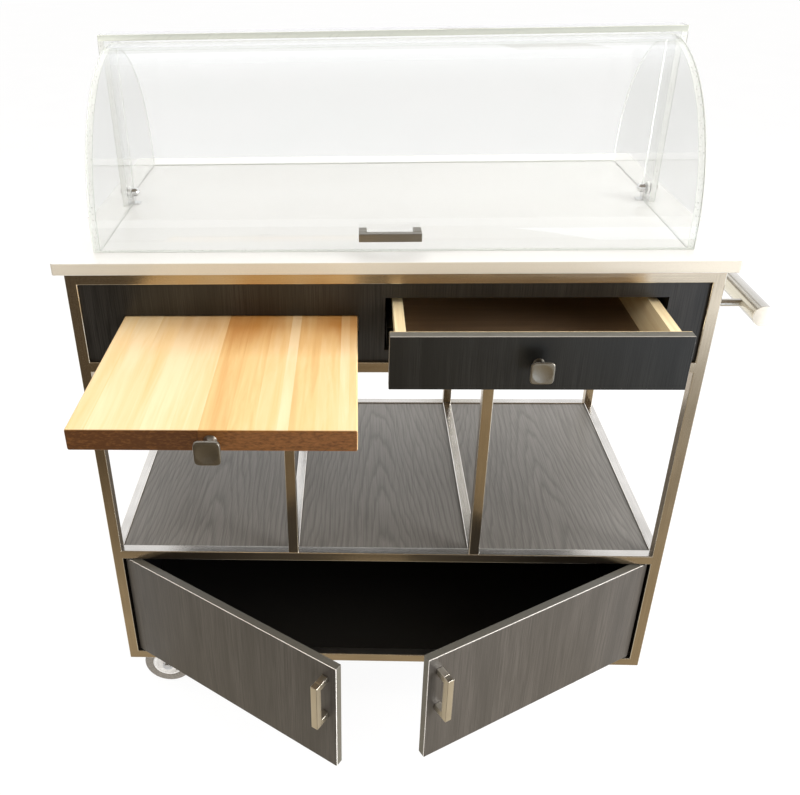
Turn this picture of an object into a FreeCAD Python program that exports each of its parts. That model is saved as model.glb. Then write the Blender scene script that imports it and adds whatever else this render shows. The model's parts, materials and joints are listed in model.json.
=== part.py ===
"""Cheese cart: a square-tube frame on casters with a stone counter, a roll-back clear cover,
a pull-out cutting board, a drawer, three shelf bays and a cabinet with two doors.

Millimetres. The origin is on the floor, under the middle of the frame. +Z is up, the doors
face -Y and the push bar is on the +X side. The board, the drawer and the doors stand open.
"""
import FreeCAD
import Part
import math
import os

V = FreeCAD.Vector
X_AXIS = V(1, 0, 0)
Y_AXIS = V(0, 1, 0)
Z_AXIS = V(0, 0, 1)

# Fits shared by several pieces
running_clearance = 0.05
sliding_clearance = 0.3
far_beyond = 5000.0

# Square-tube frame
frame_width = 1033.0
frame_depth = 582.0
tube_size = 19.0
tube_wall = 1.5
tube_corner = 1.5
cabinet_opening = 245.0
bay_height = 387.0
apron_height = 139.0
bays = 3

# Counter
counter_width = 1067.0
counter_depth = 635.0
counter_thickness = 20.0
counter_front_overhang = 7.0
counter_corner = 4.0

# Panels
panel_thickness = 12.0
panel_inset = 3.0
shelf_thickness = 16.0
cabinet_floor_thickness = 16.0
fascia_thickness = 16.0
fascia_inset = 6.0

# Clear cover: a fixed rear shell and a front cover that turns inside it
sheet_thickness = 10.0
cover_radius = 258.0
shell_gap = 6.0
shell_half_width = 489.0
side_gap = 4.0
cover_pivot_y = 6.0
cover_pivot_height = 22.0
end_overlap = 16.0
cover_rest_gap = 0.6
stud_diameter = 8.0
stud_head_diameter = 18.0
stud_head_height = 4.0
nut_diameter = 15.0
nut_height = 10.0
spacer_diameter = 22.0
cover_pull_rise = 12.0
bracket_thickness = 3.0
bracket_width = 16.0
bracket_foot = 12.0

# Cutting board
board_width = 380.0
board_length = 500.0
board_thickness = 32.0
board_edge = 3.0
board_from_post = 67.5
board_above_band = 49.0
board_out = 340.0
board_side_clearance = 0.5
board_slot_gap = 2.0
runner_thickness = 11.5
runner_groove = 10.5
runner_lip = 12.0
divider_thickness = 16.0

# Drawer
drawer_from_post = 59.5
drawer_from_board = 44.0
drawer_opening_height = 93.0
drawer_above_band = 20.0
drawer_gap = 2.5
drawer_front_thickness = 19.0
drawer_out = 130.0
drawer_depth = 460.0
drawer_side_thickness = 16.0
drawer_side_height = 74.0
drawer_side_drop = 7.0
drawer_bottom_thickness = 6.0
drawer_bottom_rise = 8.0
drawer_groove = 6.0

# Drawer slides, three nested channels on each side
slide_width = 12.0
slide_height = 35.0
slide_sheet = 1.5
slide_length = 450.0
slide_setback = 3.0

# Doors
door_thickness = 16.0
door_side_gap = 5.0
door_middle_gap = 3.0
door_bottom_gap = 3.0
door_top_gap = 2.5
door_edge = 0.8
door_pivot_from_edge = 8.0
door_pivot_from_face = 4.0
door_pin_diameter = 4.0
door_pin_in_door = 14.0
door_pin_in_rail = 6.0
washer_diameter = 10.0
left_door_angle = 33.6
right_door_angle = 30.4

# Bar pulls and knobs
pull_length = 97.0
pull_bar = 12.7
pull_projection = 33.0
pull_edge = 1.0
door_pull_from_edge = 22.0
door_pull_from_top = 26.0
knob_size = 35.0
knob_plate = 6.0
knob_corner = 7.0
knob_projection = 31.5
knob_foot_radius = 9.0
knob_waist_radius = 5.5
knob_neck_radius = 8.0
knob_edge = 2.0
knob_dish_radius = 14.5
knob_dish_depth = 1.2

# Push bar
bar_diameter = 32.0
bar_wall = 1.5
bar_length = 666.0
bar_standoff = 32.5
bar_drop = 56.0
standoff_diameter = 12.0
cap_flange = 2.0
cap_crown = 2.5
cap_plug = 10.0

# Casters
caster_from_side = 96.5
caster_from_front = 71.0
caster_trail = 36.0
wheel_diameter = 101.6
wheel_width = 32.0
tyre_shoulder = 6.0
hub_radius = 33.0
hub_web = 22.0
hub_rim = 5.0
hub_rim_inset = 1.0
hub_boss_radius = 11.0
wheel_side_clearance = 2.0
axle_diameter = 8.0
axle_head_diameter = 14.0
axle_head_height = 4.0
fork_plate = 4.0
fork_top_half = 22.0
fork_foot_radius = 11.0
wheel_top_clearance = 4.4
crown_thickness = 10.0
crown_radius = 27.0
race_height = 8.0
race_radius = 22.0
kingpin_diameter = 12.0
plate_size = 76.0
plate_thickness = 3.0
plate_bolt_spacing = 56.0
bolt_diameter = 6.0
bolt_head_diameter = 12.0
bolt_head_height = 4.0
bolt_grip = 9.0

# Levels and faces worked out from the sizes above
half_width = frame_width / 2
half_depth = frame_depth / 2
inner_x = half_width - tube_size
inner_y = half_depth - tube_size
front_y = -half_depth
crown_bottom = wheel_diameter + wheel_top_clearance
crown_top = crown_bottom + crown_thickness
race_bottom = crown_top + sliding_clearance
plate_bottom = race_bottom + race_height
frame_bottom = plate_bottom + plate_thickness
bottom_rail_top = frame_bottom + tube_size
shelf_rail_bottom = bottom_rail_top + cabinet_opening
shelf_rail_top = shelf_rail_bottom + tube_size
band_rail_bottom = shelf_rail_top + bay_height
band_rail_top = band_rail_bottom + tube_size
top_rail_bottom = band_rail_top + apron_height
frame_top = top_rail_bottom + tube_size
counter_top = frame_top + counter_thickness
counter_front_y = front_y - counter_front_overhang
fascia_front_y = front_y + fascia_inset
fascia_back_y = fascia_front_y + fascia_thickness
apron_floor_top = band_rail_bottom + panel_thickness
apron_back_y = half_depth - panel_inset - panel_thickness


def block(x0, x1, y0, y1, z0, z1):
    """A box between two corners."""
    return Part.makeBox(x1 - x0, y1 - y0, z1 - z0, V(x0, y0, z0))


def rod(start, direction, length, diameter):
    """A round bar from a point along a direction."""
    return Part.makeCylinder(diameter / 2, length, start, direction)


def edges_along(shape, direction):
    """The straight edges of a shape that run along one axis."""
    found = []
    for edge in shape.Edges:
        run = edge.Vertexes[-1].Point - edge.Vertexes[0].Point
        if run.Length > 0 and abs(run.normalize().dot(direction)) > 0.999:
            found.append(edge)
    return found


def rounded(shape, radius):
    """A box with all its edges eased."""
    return shape.makeFillet(radius, shape.Edges)


def square_tube(x0, x1, y0, y1, z0, z1, direction):
    """A hollow square tube with eased corners, open at both ends."""
    outer = block(x0, x1, y0, y1, z0, z1)
    outer = outer.makeFillet(tube_corner, edges_along(outer, direction))
    inset = V(
        tube_wall * (1 - 2 * direction.x),
        tube_wall * (1 - 2 * direction.y),
        tube_wall * (1 - 2 * direction.z),
    )
    bore = block(x0 + inset.x, x1 - inset.x, y0 + inset.y, y1 - inset.y, z0 + inset.z, z1 - inset.z)
    return outer.cut(bore)


def rail_ring(z0):
    """Two long rails and two short rails that join the corner posts at one level."""
    z1 = z0 + tube_size
    rails = []
    for y0 in (-half_depth, inner_y):
        rails.append(square_tube(-inner_x, inner_x, y0, y0 + tube_size, z0, z1, X_AXIS))
    for x0 in (-half_width, inner_x):
        rails.append(square_tube(x0, x0 + tube_size, -inner_y, inner_y, z0, z1, Y_AXIS))
    return rails


def revolved(profile, centre, axis):
    """A solid turned from a closed list of (radius, height) points and arcs.

    Each entry is a point, or a pair (through, end) for an arc that passes one point and
    ends at another. Heights run along the axis from the centre.
    """
    side = X_AXIS if abs(axis.dot(X_AXIS)) < 0.5 else Y_AXIS

    def place(point):
        return centre + side * point[0] + axis * point[1]

    first = profile[0]
    here = first
    edges = []
    for entry in profile[1:] + [first]:
        if isinstance(entry[0], tuple):
            through, end = entry
            edges.append(Part.Arc(place(here), place(through), place(end)).toShape())
        else:
            end = entry
            edges.append(Part.LineSegment(place(here), place(end)).toShape())
        here = end
    return Part.Face(Part.Wire(edges)).revolve(centre, axis, 360)


def crown_arc(radius, height, rise):
    """The arc of a spherical crown: from (radius, height) up to the axis, rise higher."""
    sphere = (radius ** 2 + rise ** 2) / (2 * rise)
    half_angle = math.atan2(radius, sphere - rise) / 2
    through = (sphere * math.sin(half_angle), height + rise - sphere * (1 - math.cos(half_angle)))
    return (through, (0, height + rise))


def bar_pull():
    """A square bar pull along X on two legs, standing out of the plane y = 0 towards -Y."""
    half = pull_length / 2
    bar = block(-half, half, -pull_projection, pull_bar - pull_projection, -pull_bar / 2, pull_bar / 2)
    bar = bar.makeFillet(pull_edge, bar.Edges)
    legs = []
    for x0 in (-half, half - pull_bar):
        leg = block(x0, x0 + pull_bar, pull_bar / 2 - pull_projection, 0, -pull_bar / 2, pull_bar / 2)
        legs.append(leg.makeFillet(pull_edge, edges_along(leg, Y_AXIS)))
    return bar.fuse(legs).removeSplitter()


def knob():
    """A square knob with a dished face on a waisted stem, standing out of y = 0 towards -Y."""
    half = knob_size / 2
    stem_length = knob_projection - knob_plate
    plate = block(-half, half, -knob_projection, -stem_length, -half, half)
    plate = plate.makeFillet(knob_corner, edges_along(plate, Y_AXIS))
    front = min(plate.Faces, key=lambda face: face.CenterOfMass.y)
    plate = plate.makeFillet(knob_edge, front.Edges)
    dish_sphere = (knob_dish_radius ** 2 + knob_dish_depth ** 2) / (2 * knob_dish_depth)
    dish_centre = V(0, knob_dish_depth - knob_projection - dish_sphere, 0)
    plate = plate.cut(Part.makeSphere(dish_sphere, dish_centre))
    waist = (knob_waist_radius, stem_length / 2)
    neck = (knob_neck_radius, stem_length)
    stem = revolved([(0, 0), (knob_foot_radius, 0), (waist, neck), (0, stem_length)], V(0, 0, 0), -Y_AXIS)
    return plate.fuse(stem)


pieces = {}

# Frame: posts and rails
posts = []
for x0 in (-half_width, inner_x):
    for y0 in (-half_depth, inner_y):
        posts.append(square_tube(x0, x0 + tube_size, y0, y0 + tube_size, frame_bottom, frame_top, Z_AXIS))
pieces["corner_posts"] = posts

bay_width = (2 * inner_x - (bays - 1) * tube_size) / bays
bay_starts = [-inner_x + n * (bay_width + tube_size) for n in range(bays)]
divider_lefts = [start - tube_size for start in bay_starts[1:]]
divider_posts = []
shelf_cross_rails = []
for x0 in divider_lefts:
    x1 = x0 + tube_size
    for y0 in (-half_depth, inner_y):
        divider_posts.append(square_tube(x0, x1, y0, y0 + tube_size, shelf_rail_top, band_rail_bottom, Z_AXIS))
    shelf_cross_rails.append(square_tube(x0, x1, -inner_y, inner_y, shelf_rail_bottom, shelf_rail_top, Y_AXIS))
pieces["divider_posts"] = divider_posts

# Door pivots stand in holes through the walls of the bottom and shelf rails that face the doors
door_width = (2 * inner_x - 2 * door_side_gap - door_middle_gap) / 2
door_bottom = bottom_rail_top + door_bottom_gap
door_top = shelf_rail_bottom - door_top_gap
door_pivot_x = inner_x - door_side_gap - door_pivot_from_edge
door_pivot_y = front_y + door_pivot_from_face
pin_hole = door_pin_diameter + 2 * running_clearance
pin_holes = []
for x in (-door_pivot_x, door_pivot_x):
    pin_holes.append(rod(V(x, door_pivot_y, bottom_rail_top - tube_size / 2), Z_AXIS, tube_size / 2, pin_hole))
    pin_holes.append(rod(V(x, door_pivot_y, shelf_rail_bottom), Z_AXIS, tube_size / 2, pin_hole))


def drilled(shapes, holes):
    """Shapes with every hole that reaches them cut out."""
    return [shape.cut(holes) for shape in shapes]


bottom_rails = rail_ring(frame_bottom)
shelf_rails = rail_ring(shelf_rail_bottom)
pieces["bottom_rails"] = drilled(bottom_rails[:1], pin_holes) + bottom_rails[1:]
pieces["shelf_rails"] = drilled(shelf_rails[:1], pin_holes) + shelf_rails[1:] + shelf_cross_rails
pieces["band_rails"] = rail_ring(band_rail_bottom)
pieces["top_rails"] = rail_ring(top_rail_bottom)

# Shelf: one panel in each bay, level with the undersides of the rails
shelf_top = shelf_rail_bottom + shelf_thickness
shelf_panels = []
for x0 in bay_starts:
    shelf_panels.append(block(x0, x0 + bay_width, -inner_y, inner_y, shelf_rail_bottom, shelf_top))
pieces["shelf_panels"] = shelf_panels


def side_panels(z0, z1):
    """A left and a right panel between the corner posts, set in from the tubes' outer faces."""
    outer = half_width - panel_inset
    inner = outer - panel_thickness
    left = block(-outer, -inner, -inner_y, inner_y, z0, z1)
    right = block(inner, outer, -inner_y, inner_y, z0, z1)
    return [left, right]


def back_panel(z0, z1):
    """A rear panel between the rear corner posts."""
    return block(-inner_x, inner_x, apron_back_y, apron_back_y + panel_thickness, z0, z1)


# Casters: fixed plate with race and kingpin, swivelling fork with its axle, wheel
caster_x = half_width - caster_from_side
caster_y = half_depth - caster_from_front
corners = {
    "front_left": (-caster_x, -caster_y),
    "front_right": (caster_x, -caster_y),
    "rear_left": (-caster_x, caster_y),
    "rear_right": (caster_x, caster_y),
}
axle_z = wheel_diameter / 2
fork_inner = wheel_width / 2 + wheel_side_clearance
fork_outer = fork_inner + fork_plate
kingpin_hole = kingpin_diameter + 2 * running_clearance
axle_hole = axle_diameter + 2 * running_clearance
bolt_hole = bolt_diameter + 2 * running_clearance


def fork_leg(x, wheel_x, y0):
    """A tapered fork leg with a round foot, from the crown down to the axle."""
    foot = fork_foot_radius
    outline = [
        V(x - fork_top_half, y0, crown_top),
        V(x + fork_top_half, y0, crown_top),
        V(wheel_x + foot, y0, axle_z),
        V(wheel_x - foot, y0, axle_z),
    ]
    leg = Part.Face(Part.makePolygon(outline + outline[:1])).extrude(Y_AXIS * fork_plate)
    return leg.fuse(rod(V(wheel_x, y0, axle_z), Y_AXIS, fork_plate, 2 * foot))


def caster_fork(x, y):
    """The crown and two legs, with holes for the kingpin and the axle."""
    wheel_x = x - caster_trail
    crown = rod(V(x, y, crown_bottom), Z_AXIS, crown_thickness, 2 * crown_radius)
    legs = [fork_leg(x, wheel_x, y - fork_outer), fork_leg(x, wheel_x, y + fork_inner)]
    fork = crown.fuse(legs)
    fork = fork.cut(rod(V(x, y, crown_bottom), Z_AXIS, crown_thickness, kingpin_hole))
    return fork.cut(rod(V(wheel_x, y - fork_outer, axle_z), Y_AXIS, 2 * fork_outer, axle_hole))


def caster_axle(x, y):
    """The axle bolt across the fork, with a round head at each end."""
    wheel_x = x - caster_trail
    shank = rod(V(wheel_x, y - fork_outer, axle_z), Y_AXIS, 2 * fork_outer, axle_diameter)
    heads = []
    for y0 in (y - fork_outer - axle_head_height, y + fork_outer):
        heads.append(rod(V(wheel_x, y0, axle_z), Y_AXIS, axle_head_height, axle_head_diameter))
    return shank.fuse(heads)


def wheel_hub(x, y):
    """A dished hub: bore boss, thin web and rim."""
    boss = fork_inner - sliding_clearance
    rim = wheel_width / 2 - hub_rim_inset
    web = hub_web / 2
    bore = axle_hole / 2
    hollow = hub_radius - hub_rim
    half = [(bore, boss), (hub_boss_radius, boss), (hub_boss_radius, web), (hollow, web), (hollow, rim)]
    profile = half + [(hub_radius, rim), (hub_radius, -rim)]
    profile = profile + [(r, -h) for r, h in reversed(half)]
    return revolved(profile, V(x - caster_trail, y, axle_z), Y_AXIS)


def wheel_tyre(x, y):
    """A solid tyre with round shoulders, seated on the hub's rim."""
    inner = hub_radius + running_clearance
    outer = wheel_diameter / 2
    half = wheel_width / 2
    ease = tyre_shoulder
    diagonal = ease * (1 - math.sqrt(0.5))
    upper = ((outer - diagonal, half - diagonal), (outer, half - ease))
    lower = ((outer - diagonal, diagonal - half), (outer - ease, -half))
    profile = [(inner, half), (outer - ease, half), upper, (outer, ease - half), lower, (inner, -half)]
    return revolved(profile, V(x - caster_trail, y, axle_z), Y_AXIS)


caster_plates = []
caster_bolts = []
floor_holes = []
for name, (x, y) in corners.items():
    plate = block(x - plate_size / 2, x + plate_size / 2, y - plate_size / 2, y + plate_size / 2,
                  plate_bottom, frame_bottom)
    race = rod(V(x, y, race_bottom), Z_AXIS, race_height, 2 * race_radius)
    kingpin = rod(V(x, y, crown_bottom), Z_AXIS, race_bottom - crown_bottom, kingpin_diameter)
    plate = plate.fuse([race, kingpin])
    for dx in (-plate_bolt_spacing / 2, plate_bolt_spacing / 2):
        for dy in (-plate_bolt_spacing / 2, plate_bolt_spacing / 2):
            foot = V(x + dx, y + dy, plate_bottom)
            shank_length = plate_thickness + bolt_grip
            head = rod(foot - Z_AXIS * bolt_head_height, Z_AXIS, bolt_head_height, bolt_head_diameter)
            caster_bolts.append(head.fuse(rod(foot, Z_AXIS, shank_length, bolt_diameter)))
            hole = rod(foot, Z_AXIS, shank_length, bolt_hole)
            floor_holes.append(hole)
            plate = plate.cut(hole)
    caster_plates.append(plate)
    pieces[name + "_fork"] = [caster_fork(x, y), caster_axle(x, y)]
    pieces[name + "_hub"] = [wheel_hub(x, y)]
    pieces[name + "_tyre"] = [wheel_tyre(x, y)]
pieces["caster_plates"] = caster_plates
pieces["caster_bolts"] = caster_bolts

# Cabinet
cabinet_floor_top = frame_bottom + cabinet_floor_thickness
cabinet_floor = block(-inner_x, inner_x, -inner_y, inner_y, frame_bottom, cabinet_floor_top)
pieces["cabinet_floor"] = drilled([cabinet_floor], floor_holes)
pieces["cabinet_back"] = [back_panel(bottom_rail_top, shelf_rail_bottom)]
pieces["cabinet_sides"] = side_panels(bottom_rail_top, shelf_rail_bottom)

# Apron round the drawer and the board
board_bottom = band_rail_top + board_above_band
board_top = board_bottom + board_thickness
board_left = board_from_post - inner_x
board_right = board_left + board_width
board_centre_x = (board_left + board_right) / 2
opening_left = board_right + drawer_from_board
opening_right = inner_x - drawer_from_post
drawer_centre_x = (opening_left + opening_right) / 2
opening_bottom = band_rail_top + drawer_above_band
opening_top = opening_bottom + drawer_opening_height

fascia = block(-inner_x, inner_x, fascia_front_y, fascia_back_y, band_rail_top, top_rail_bottom)
board_slot = block(board_left - board_slot_gap, board_right + board_slot_gap, fascia_front_y, fascia_back_y,
                   board_bottom - board_slot_gap, board_top + board_slot_gap)
drawer_opening = block(opening_left, opening_right, fascia_front_y, fascia_back_y, opening_bottom, opening_top)
pieces["fascia"] = [fascia.cut([board_slot, drawer_opening])]
pieces["apron_back"] = [back_panel(band_rail_top, top_rail_bottom)]
pieces["apron_sides"] = side_panels(band_rail_top, top_rail_bottom)
pieces["apron_floor"] = [block(-inner_x, inner_x, -inner_y, inner_y, band_rail_bottom, apron_floor_top)]

# Dividers inside the apron carry the board's runners and the drawer's slides
runner_left = board_left - board_side_clearance - runner_thickness
runner_right = board_right + board_side_clearance + runner_thickness
divider_spans = [
    (runner_left - divider_thickness, runner_left),
    (runner_right, opening_left),
    (opening_right, opening_right + divider_thickness),
]
dividers = []
for x0, x1 in divider_spans:
    divider = block(x0, x1, fascia_back_y, apron_back_y, band_rail_top, top_rail_bottom)
    between_rails = block(x0, x1, -inner_y, inner_y, top_rail_bottom, frame_top)
    dividers.append(divider.fuse(between_rails).removeSplitter())
pieces["apron_dividers"] = dividers

groove_left = board_left - board_side_clearance
groove_right = board_right + board_side_clearance
groove_bottom = board_bottom - sliding_clearance
groove_top = board_top + sliding_clearance
groove = block(groove_left, groove_right, fascia_back_y, apron_back_y, groove_bottom, groove_top)
runners = []
for x0, x1 in ((runner_left, groove_left + runner_groove), (groove_right - runner_groove, runner_right)):
    rail = block(x0, x1, fascia_back_y, apron_back_y, groove_bottom - runner_lip, groove_top + runner_lip)
    runners.append(rail.cut(groove))
pieces["board_runners"] = runners

# Counter
counter_back_y = counter_front_y + counter_depth
counter = block(-counter_width / 2, counter_width / 2, counter_front_y, counter_back_y, frame_top, counter_top)
counter = counter.makeFillet(counter_corner, edges_along(counter, Z_AXIS))
pieces["counter_top"] = [counter]

# Clear cover
pivot_z = counter_top + cover_pivot_height
cover_inner = cover_radius - sheet_thickness
shell_inner = cover_radius + shell_gap
shell_radius = shell_inner + sheet_thickness
shell_end_inner = shell_half_width - sheet_thickness
cover_half_width = shell_end_inner - side_gap
cover_end_inner = cover_half_width - sheet_thickness
cover_bottom = counter_top + cover_rest_gap
cover_back_y = cover_pivot_y + end_overlap
shell_front_y = cover_pivot_y - end_overlap


def across(x0, x1, radius):
    """A cylinder about the cover's pivot axis between two X positions."""
    return rod(V(x0, cover_pivot_y, pivot_z), X_AXIS, x1 - x0, 2 * radius)


def in_front(x0, x1):
    """The space of the front cover: above its rest level and ahead of its rear edge."""
    return block(x0, x1, -far_beyond, cover_back_y, cover_bottom, far_beyond)


def behind(x0, x1):
    """The space of the rear shell: above the counter and behind its front edge."""
    return block(x0, x1, shell_front_y, far_beyond, counter_top, far_beyond)


def mirrored_pair(shape):
    """A piece at +X and its mirror image at -X."""
    return [shape, shape.mirror(V(0, 0, 0), X_AXIS)]


shell = across(-shell_half_width, shell_half_width, shell_radius)
shell = shell.cut(across(-shell_half_width, shell_half_width, shell_inner))
pieces["rear_shell"] = [shell.common(behind(-shell_half_width, shell_half_width))]

stud_hole_radius = stud_diameter / 2 + running_clearance
shell_end = across(shell_end_inner, shell_half_width, shell_inner).common(behind(shell_end_inner, shell_half_width))
shell_end = shell_end.cut(across(shell_end_inner, shell_half_width, stud_hole_radius))
pieces["rear_shell_ends"] = mirrored_pair(shell_end)

cover = across(-cover_half_width, cover_half_width, cover_radius)
cover = cover.cut(across(-cover_half_width, cover_half_width, cover_inner))
pieces["front_cover"] = [cover.common(in_front(-cover_half_width, cover_half_width))]

cover_end = across(cover_end_inner, cover_half_width, cover_inner).common(in_front(cover_end_inner, cover_half_width))
heel = block(cover_end_inner, cover_half_width, cover_pivot_y, cover_back_y, counter_top, pivot_z)
heel = heel.cut(across(cover_end_inner, cover_half_width, cover_pivot_height - cover_rest_gap))
cover_end = cover_end.cut(heel)
cover_end = cover_end.cut(across(cover_end_inner, cover_half_width, stud_hole_radius))
pieces["front_cover_ends"] = mirrored_pair(cover_end)

# A bracket on the counter at each end holds the stud inside the cover
bracket_outer = cover_end_inner - sliding_clearance
bracket_inner = bracket_outer - bracket_thickness
bracket_front = cover_pivot_y - bracket_width / 2
bracket_back = cover_pivot_y + bracket_width / 2
upright = block(bracket_inner, bracket_outer, bracket_front, bracket_back, counter_top, pivot_z)
eye = across(bracket_inner, bracket_outer, bracket_width / 2)
foot = block(bracket_outer - bracket_foot, bracket_outer, bracket_front, bracket_back,
             counter_top, counter_top + bracket_thickness)
bracket = upright.fuse([eye, foot]).cut(across(bracket_inner, bracket_outer, stud_hole_radius))
pieces["pivot_brackets"] = mirrored_pair(bracket)

stud_end = bracket_inner - nut_height / 2
stud = across(stud_end, shell_half_width, stud_diameter / 2)
stud = stud.fuse(across(shell_half_width, shell_half_width + stud_head_height, stud_head_diameter / 2))
pieces["pivot_studs"] = mirrored_pair(stud)

spacer = across(cover_half_width + sliding_clearance, shell_end_inner, spacer_diameter / 2)
spacer = spacer.cut(across(cover_half_width, shell_end_inner, stud_hole_radius))
pieces["pivot_spacers"] = mirrored_pair(spacer)

nut_radius = nut_diameter / 2
nut_shoulder = nut_height / 2
nut_profile = [
    (stud_hole_radius, 0),
    (nut_radius, 0),
    (nut_radius, nut_shoulder),
    crown_arc(nut_radius, nut_shoulder, nut_height - nut_shoulder),
    (0, nut_shoulder),
    (stud_hole_radius, nut_shoulder),
]
nut = revolved(nut_profile, V(bracket_inner, cover_pivot_y, pivot_z), -X_AXIS)
pieces["pivot_nuts"] = mirrored_pair(nut)

cover_pull = bar_pull()
seat = block(-pull_length / 2, pull_length / 2, 0, pull_bar, -pull_bar / 2, pull_bar / 2)
seat = seat.cut(block(pull_bar - pull_length / 2, pull_length / 2 - pull_bar, 0, pull_bar, -pull_bar, pull_bar))
cover_pull = cover_pull.fuse(seat)
cover_pull.translate(V(0, cover_pivot_y - cover_radius, pivot_z + cover_pull_rise))
pieces["cover_pull"] = [cover_pull.cut(across(-pull_length, pull_length, cover_radius)).removeSplitter()]

# Cutting board
board_front_y = front_y - board_out
board = block(board_left, board_right, board_front_y, board_front_y + board_length, board_bottom, board_top)
pieces["cutting_board"] = [rounded(board, board_edge)]
board_knob = knob()
board_knob.translate(V(board_centre_x, board_front_y, board_bottom + board_thickness / 2))
pieces["board_knob"] = [board_knob]

# Drawer
drawer_front_y = front_y - drawer_out
box_front_y = drawer_front_y + drawer_front_thickness
box_back_y = box_front_y + drawer_depth
front_left = opening_left + drawer_gap
front_right = opening_right - drawer_gap
front_bottom = opening_bottom + drawer_gap
front_top = opening_top - drawer_gap
side_bottom = front_bottom + drawer_side_drop
side_top = side_bottom + drawer_side_height
box_left = opening_left + slide_width
box_right = opening_right - slide_width
inside_left = box_left + drawer_side_thickness
inside_right = box_right - drawer_side_thickness
bottom_z = side_bottom + drawer_bottom_rise
bottom_top = bottom_z + drawer_bottom_thickness

drawer_front = block(front_left, front_right, drawer_front_y, box_front_y, front_bottom, front_top)
pieces["drawer_front"] = [rounded(drawer_front, door_edge)]
bottom_panel = block(inside_left - drawer_groove, inside_right + drawer_groove,
                     box_front_y, box_back_y - drawer_side_thickness, bottom_z, bottom_top)
pieces["drawer_bottom"] = [bottom_panel]
left_side = block(box_left, inside_left, box_front_y, box_back_y, side_bottom, side_top)
right_side = block(inside_right, box_right, box_front_y, box_back_y, side_bottom, side_top)
pieces["drawer_sides"] = [left_side.cut(bottom_panel), right_side.cut(bottom_panel)]
pieces["drawer_back"] = [block(inside_left, inside_right, box_back_y - drawer_side_thickness, box_back_y,
                               side_bottom, side_top)]
drawer_knob = knob()
drawer_knob.translate(V(drawer_centre_x, drawer_front_y, (front_bottom + front_top) / 2))
pieces["drawer_knob"] = [drawer_knob]

# Drawer slides: the middle channel travels half as far as the drawer
slide_z = (side_bottom + side_top) / 2
drawer_travel = drawer_out + fascia_inset
slide_start = fascia_front_y + drawer_front_thickness + slide_setback


def channel(web_x, lip_x, half_height, y0):
    """A sheet channel with its web on one side and its lips towards the other."""
    low = min(web_x, lip_x)
    high = max(web_x, lip_x)
    outer = block(low, high, y0, y0 + slide_length, slide_z - half_height, slide_z + half_height)
    toward = 1 if lip_x > web_x else -1
    inner_low = min(web_x + toward * slide_sheet, lip_x)
    inner_high = max(web_x + toward * slide_sheet, lip_x)
    inner_half = half_height - slide_sheet
    return outer.cut(block(inner_low, inner_high, y0, y0 + slide_length, slide_z - inner_half, slide_z + inner_half))


step = slide_sheet + sliding_clearance
outer_half = slide_height / 2
lip_depth = slide_width - 2 * step
outers = []
middles = []
inners = []
for wall_x, toward in ((opening_left, 1), (opening_right, -1)):
    outers.append(channel(wall_x, wall_x + toward * lip_depth, outer_half, slide_start))
    middle_web = wall_x + toward * step
    middles.append(channel(middle_web, middle_web + toward * lip_depth, outer_half - step,
                           slide_start - drawer_travel / 2))
    inner_web = wall_x + toward * slide_width
    inners.append(channel(inner_web, inner_web - toward * (lip_depth - step), outer_half - 2 * step,
                          slide_start - drawer_travel))
pieces["slide_outers"] = outers
pieces["slide_middles"] = middles
pieces["slide_inners"] = inners

# Doors: made shut on the left side, then mirrored and swung open about their pivots
pin_top = door_top + door_pin_in_rail + door_top_gap
pin_low = door_bottom - door_pin_in_rail - door_bottom_gap
left_edge = -inner_x + door_side_gap
pin_seats = [
    rod(V(-door_pivot_x, door_pivot_y, door_bottom), Z_AXIS, door_pin_in_door, pin_hole),
    rod(V(-door_pivot_x, door_pivot_y, door_top - door_pin_in_door), Z_AXIS, door_pin_in_door, pin_hole),
]
door = block(left_edge, left_edge + door_width, front_y, front_y + door_thickness, door_bottom, door_top)
door = rounded(door, door_edge).cut(pin_seats)
pins = [
    rod(V(-door_pivot_x, door_pivot_y, pin_low), Z_AXIS, door_bottom + door_pin_in_door - pin_low, door_pin_diameter),
    rod(V(-door_pivot_x, door_pivot_y, door_top - door_pin_in_door), Z_AXIS,
        pin_top - door_top + door_pin_in_door, door_pin_diameter),
]
door_pull = bar_pull()
door_pull.rotate(V(0, 0, 0), Y_AXIS, 90)
pull_z = door_top - door_pull_from_top - pull_length / 2
door_pull.translate(V(left_edge + door_width - door_pull_from_edge, front_y, pull_z))

for side, sign, angle in (("left", -1, left_door_angle), ("right", 1, right_door_angle)):
    hinge = V(sign * door_pivot_x, door_pivot_y, 0)
    for suffix, shapes in (("door", [door]), ("door_pull", [door_pull]), ("door_pins", pins)):
        placed = []
        for shape in shapes:
            leaf = shape.copy() if sign < 0 else shape.mirror(V(0, 0, 0), X_AXIS)
            leaf.rotate(hinge, Z_AXIS, sign * angle)
            placed.append(leaf)
        pieces[side + "_" + suffix] = placed

washers = []
for x in (-door_pivot_x, door_pivot_x):
    for z0, z1 in ((bottom_rail_top, door_bottom), (door_top, shelf_rail_bottom)):
        washer = rod(V(x, door_pivot_y, z0), Z_AXIS, z1 - z0, washer_diameter)
        washer = washer.cut(rod(V(x, door_pivot_y, z0), Z_AXIS, z1 - z0, pin_hole))
        washers.append(washer.common(block(-far_beyond, far_beyond, front_y, far_beyond, z0, z1)))
pieces["pivot_washers"] = washers

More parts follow.
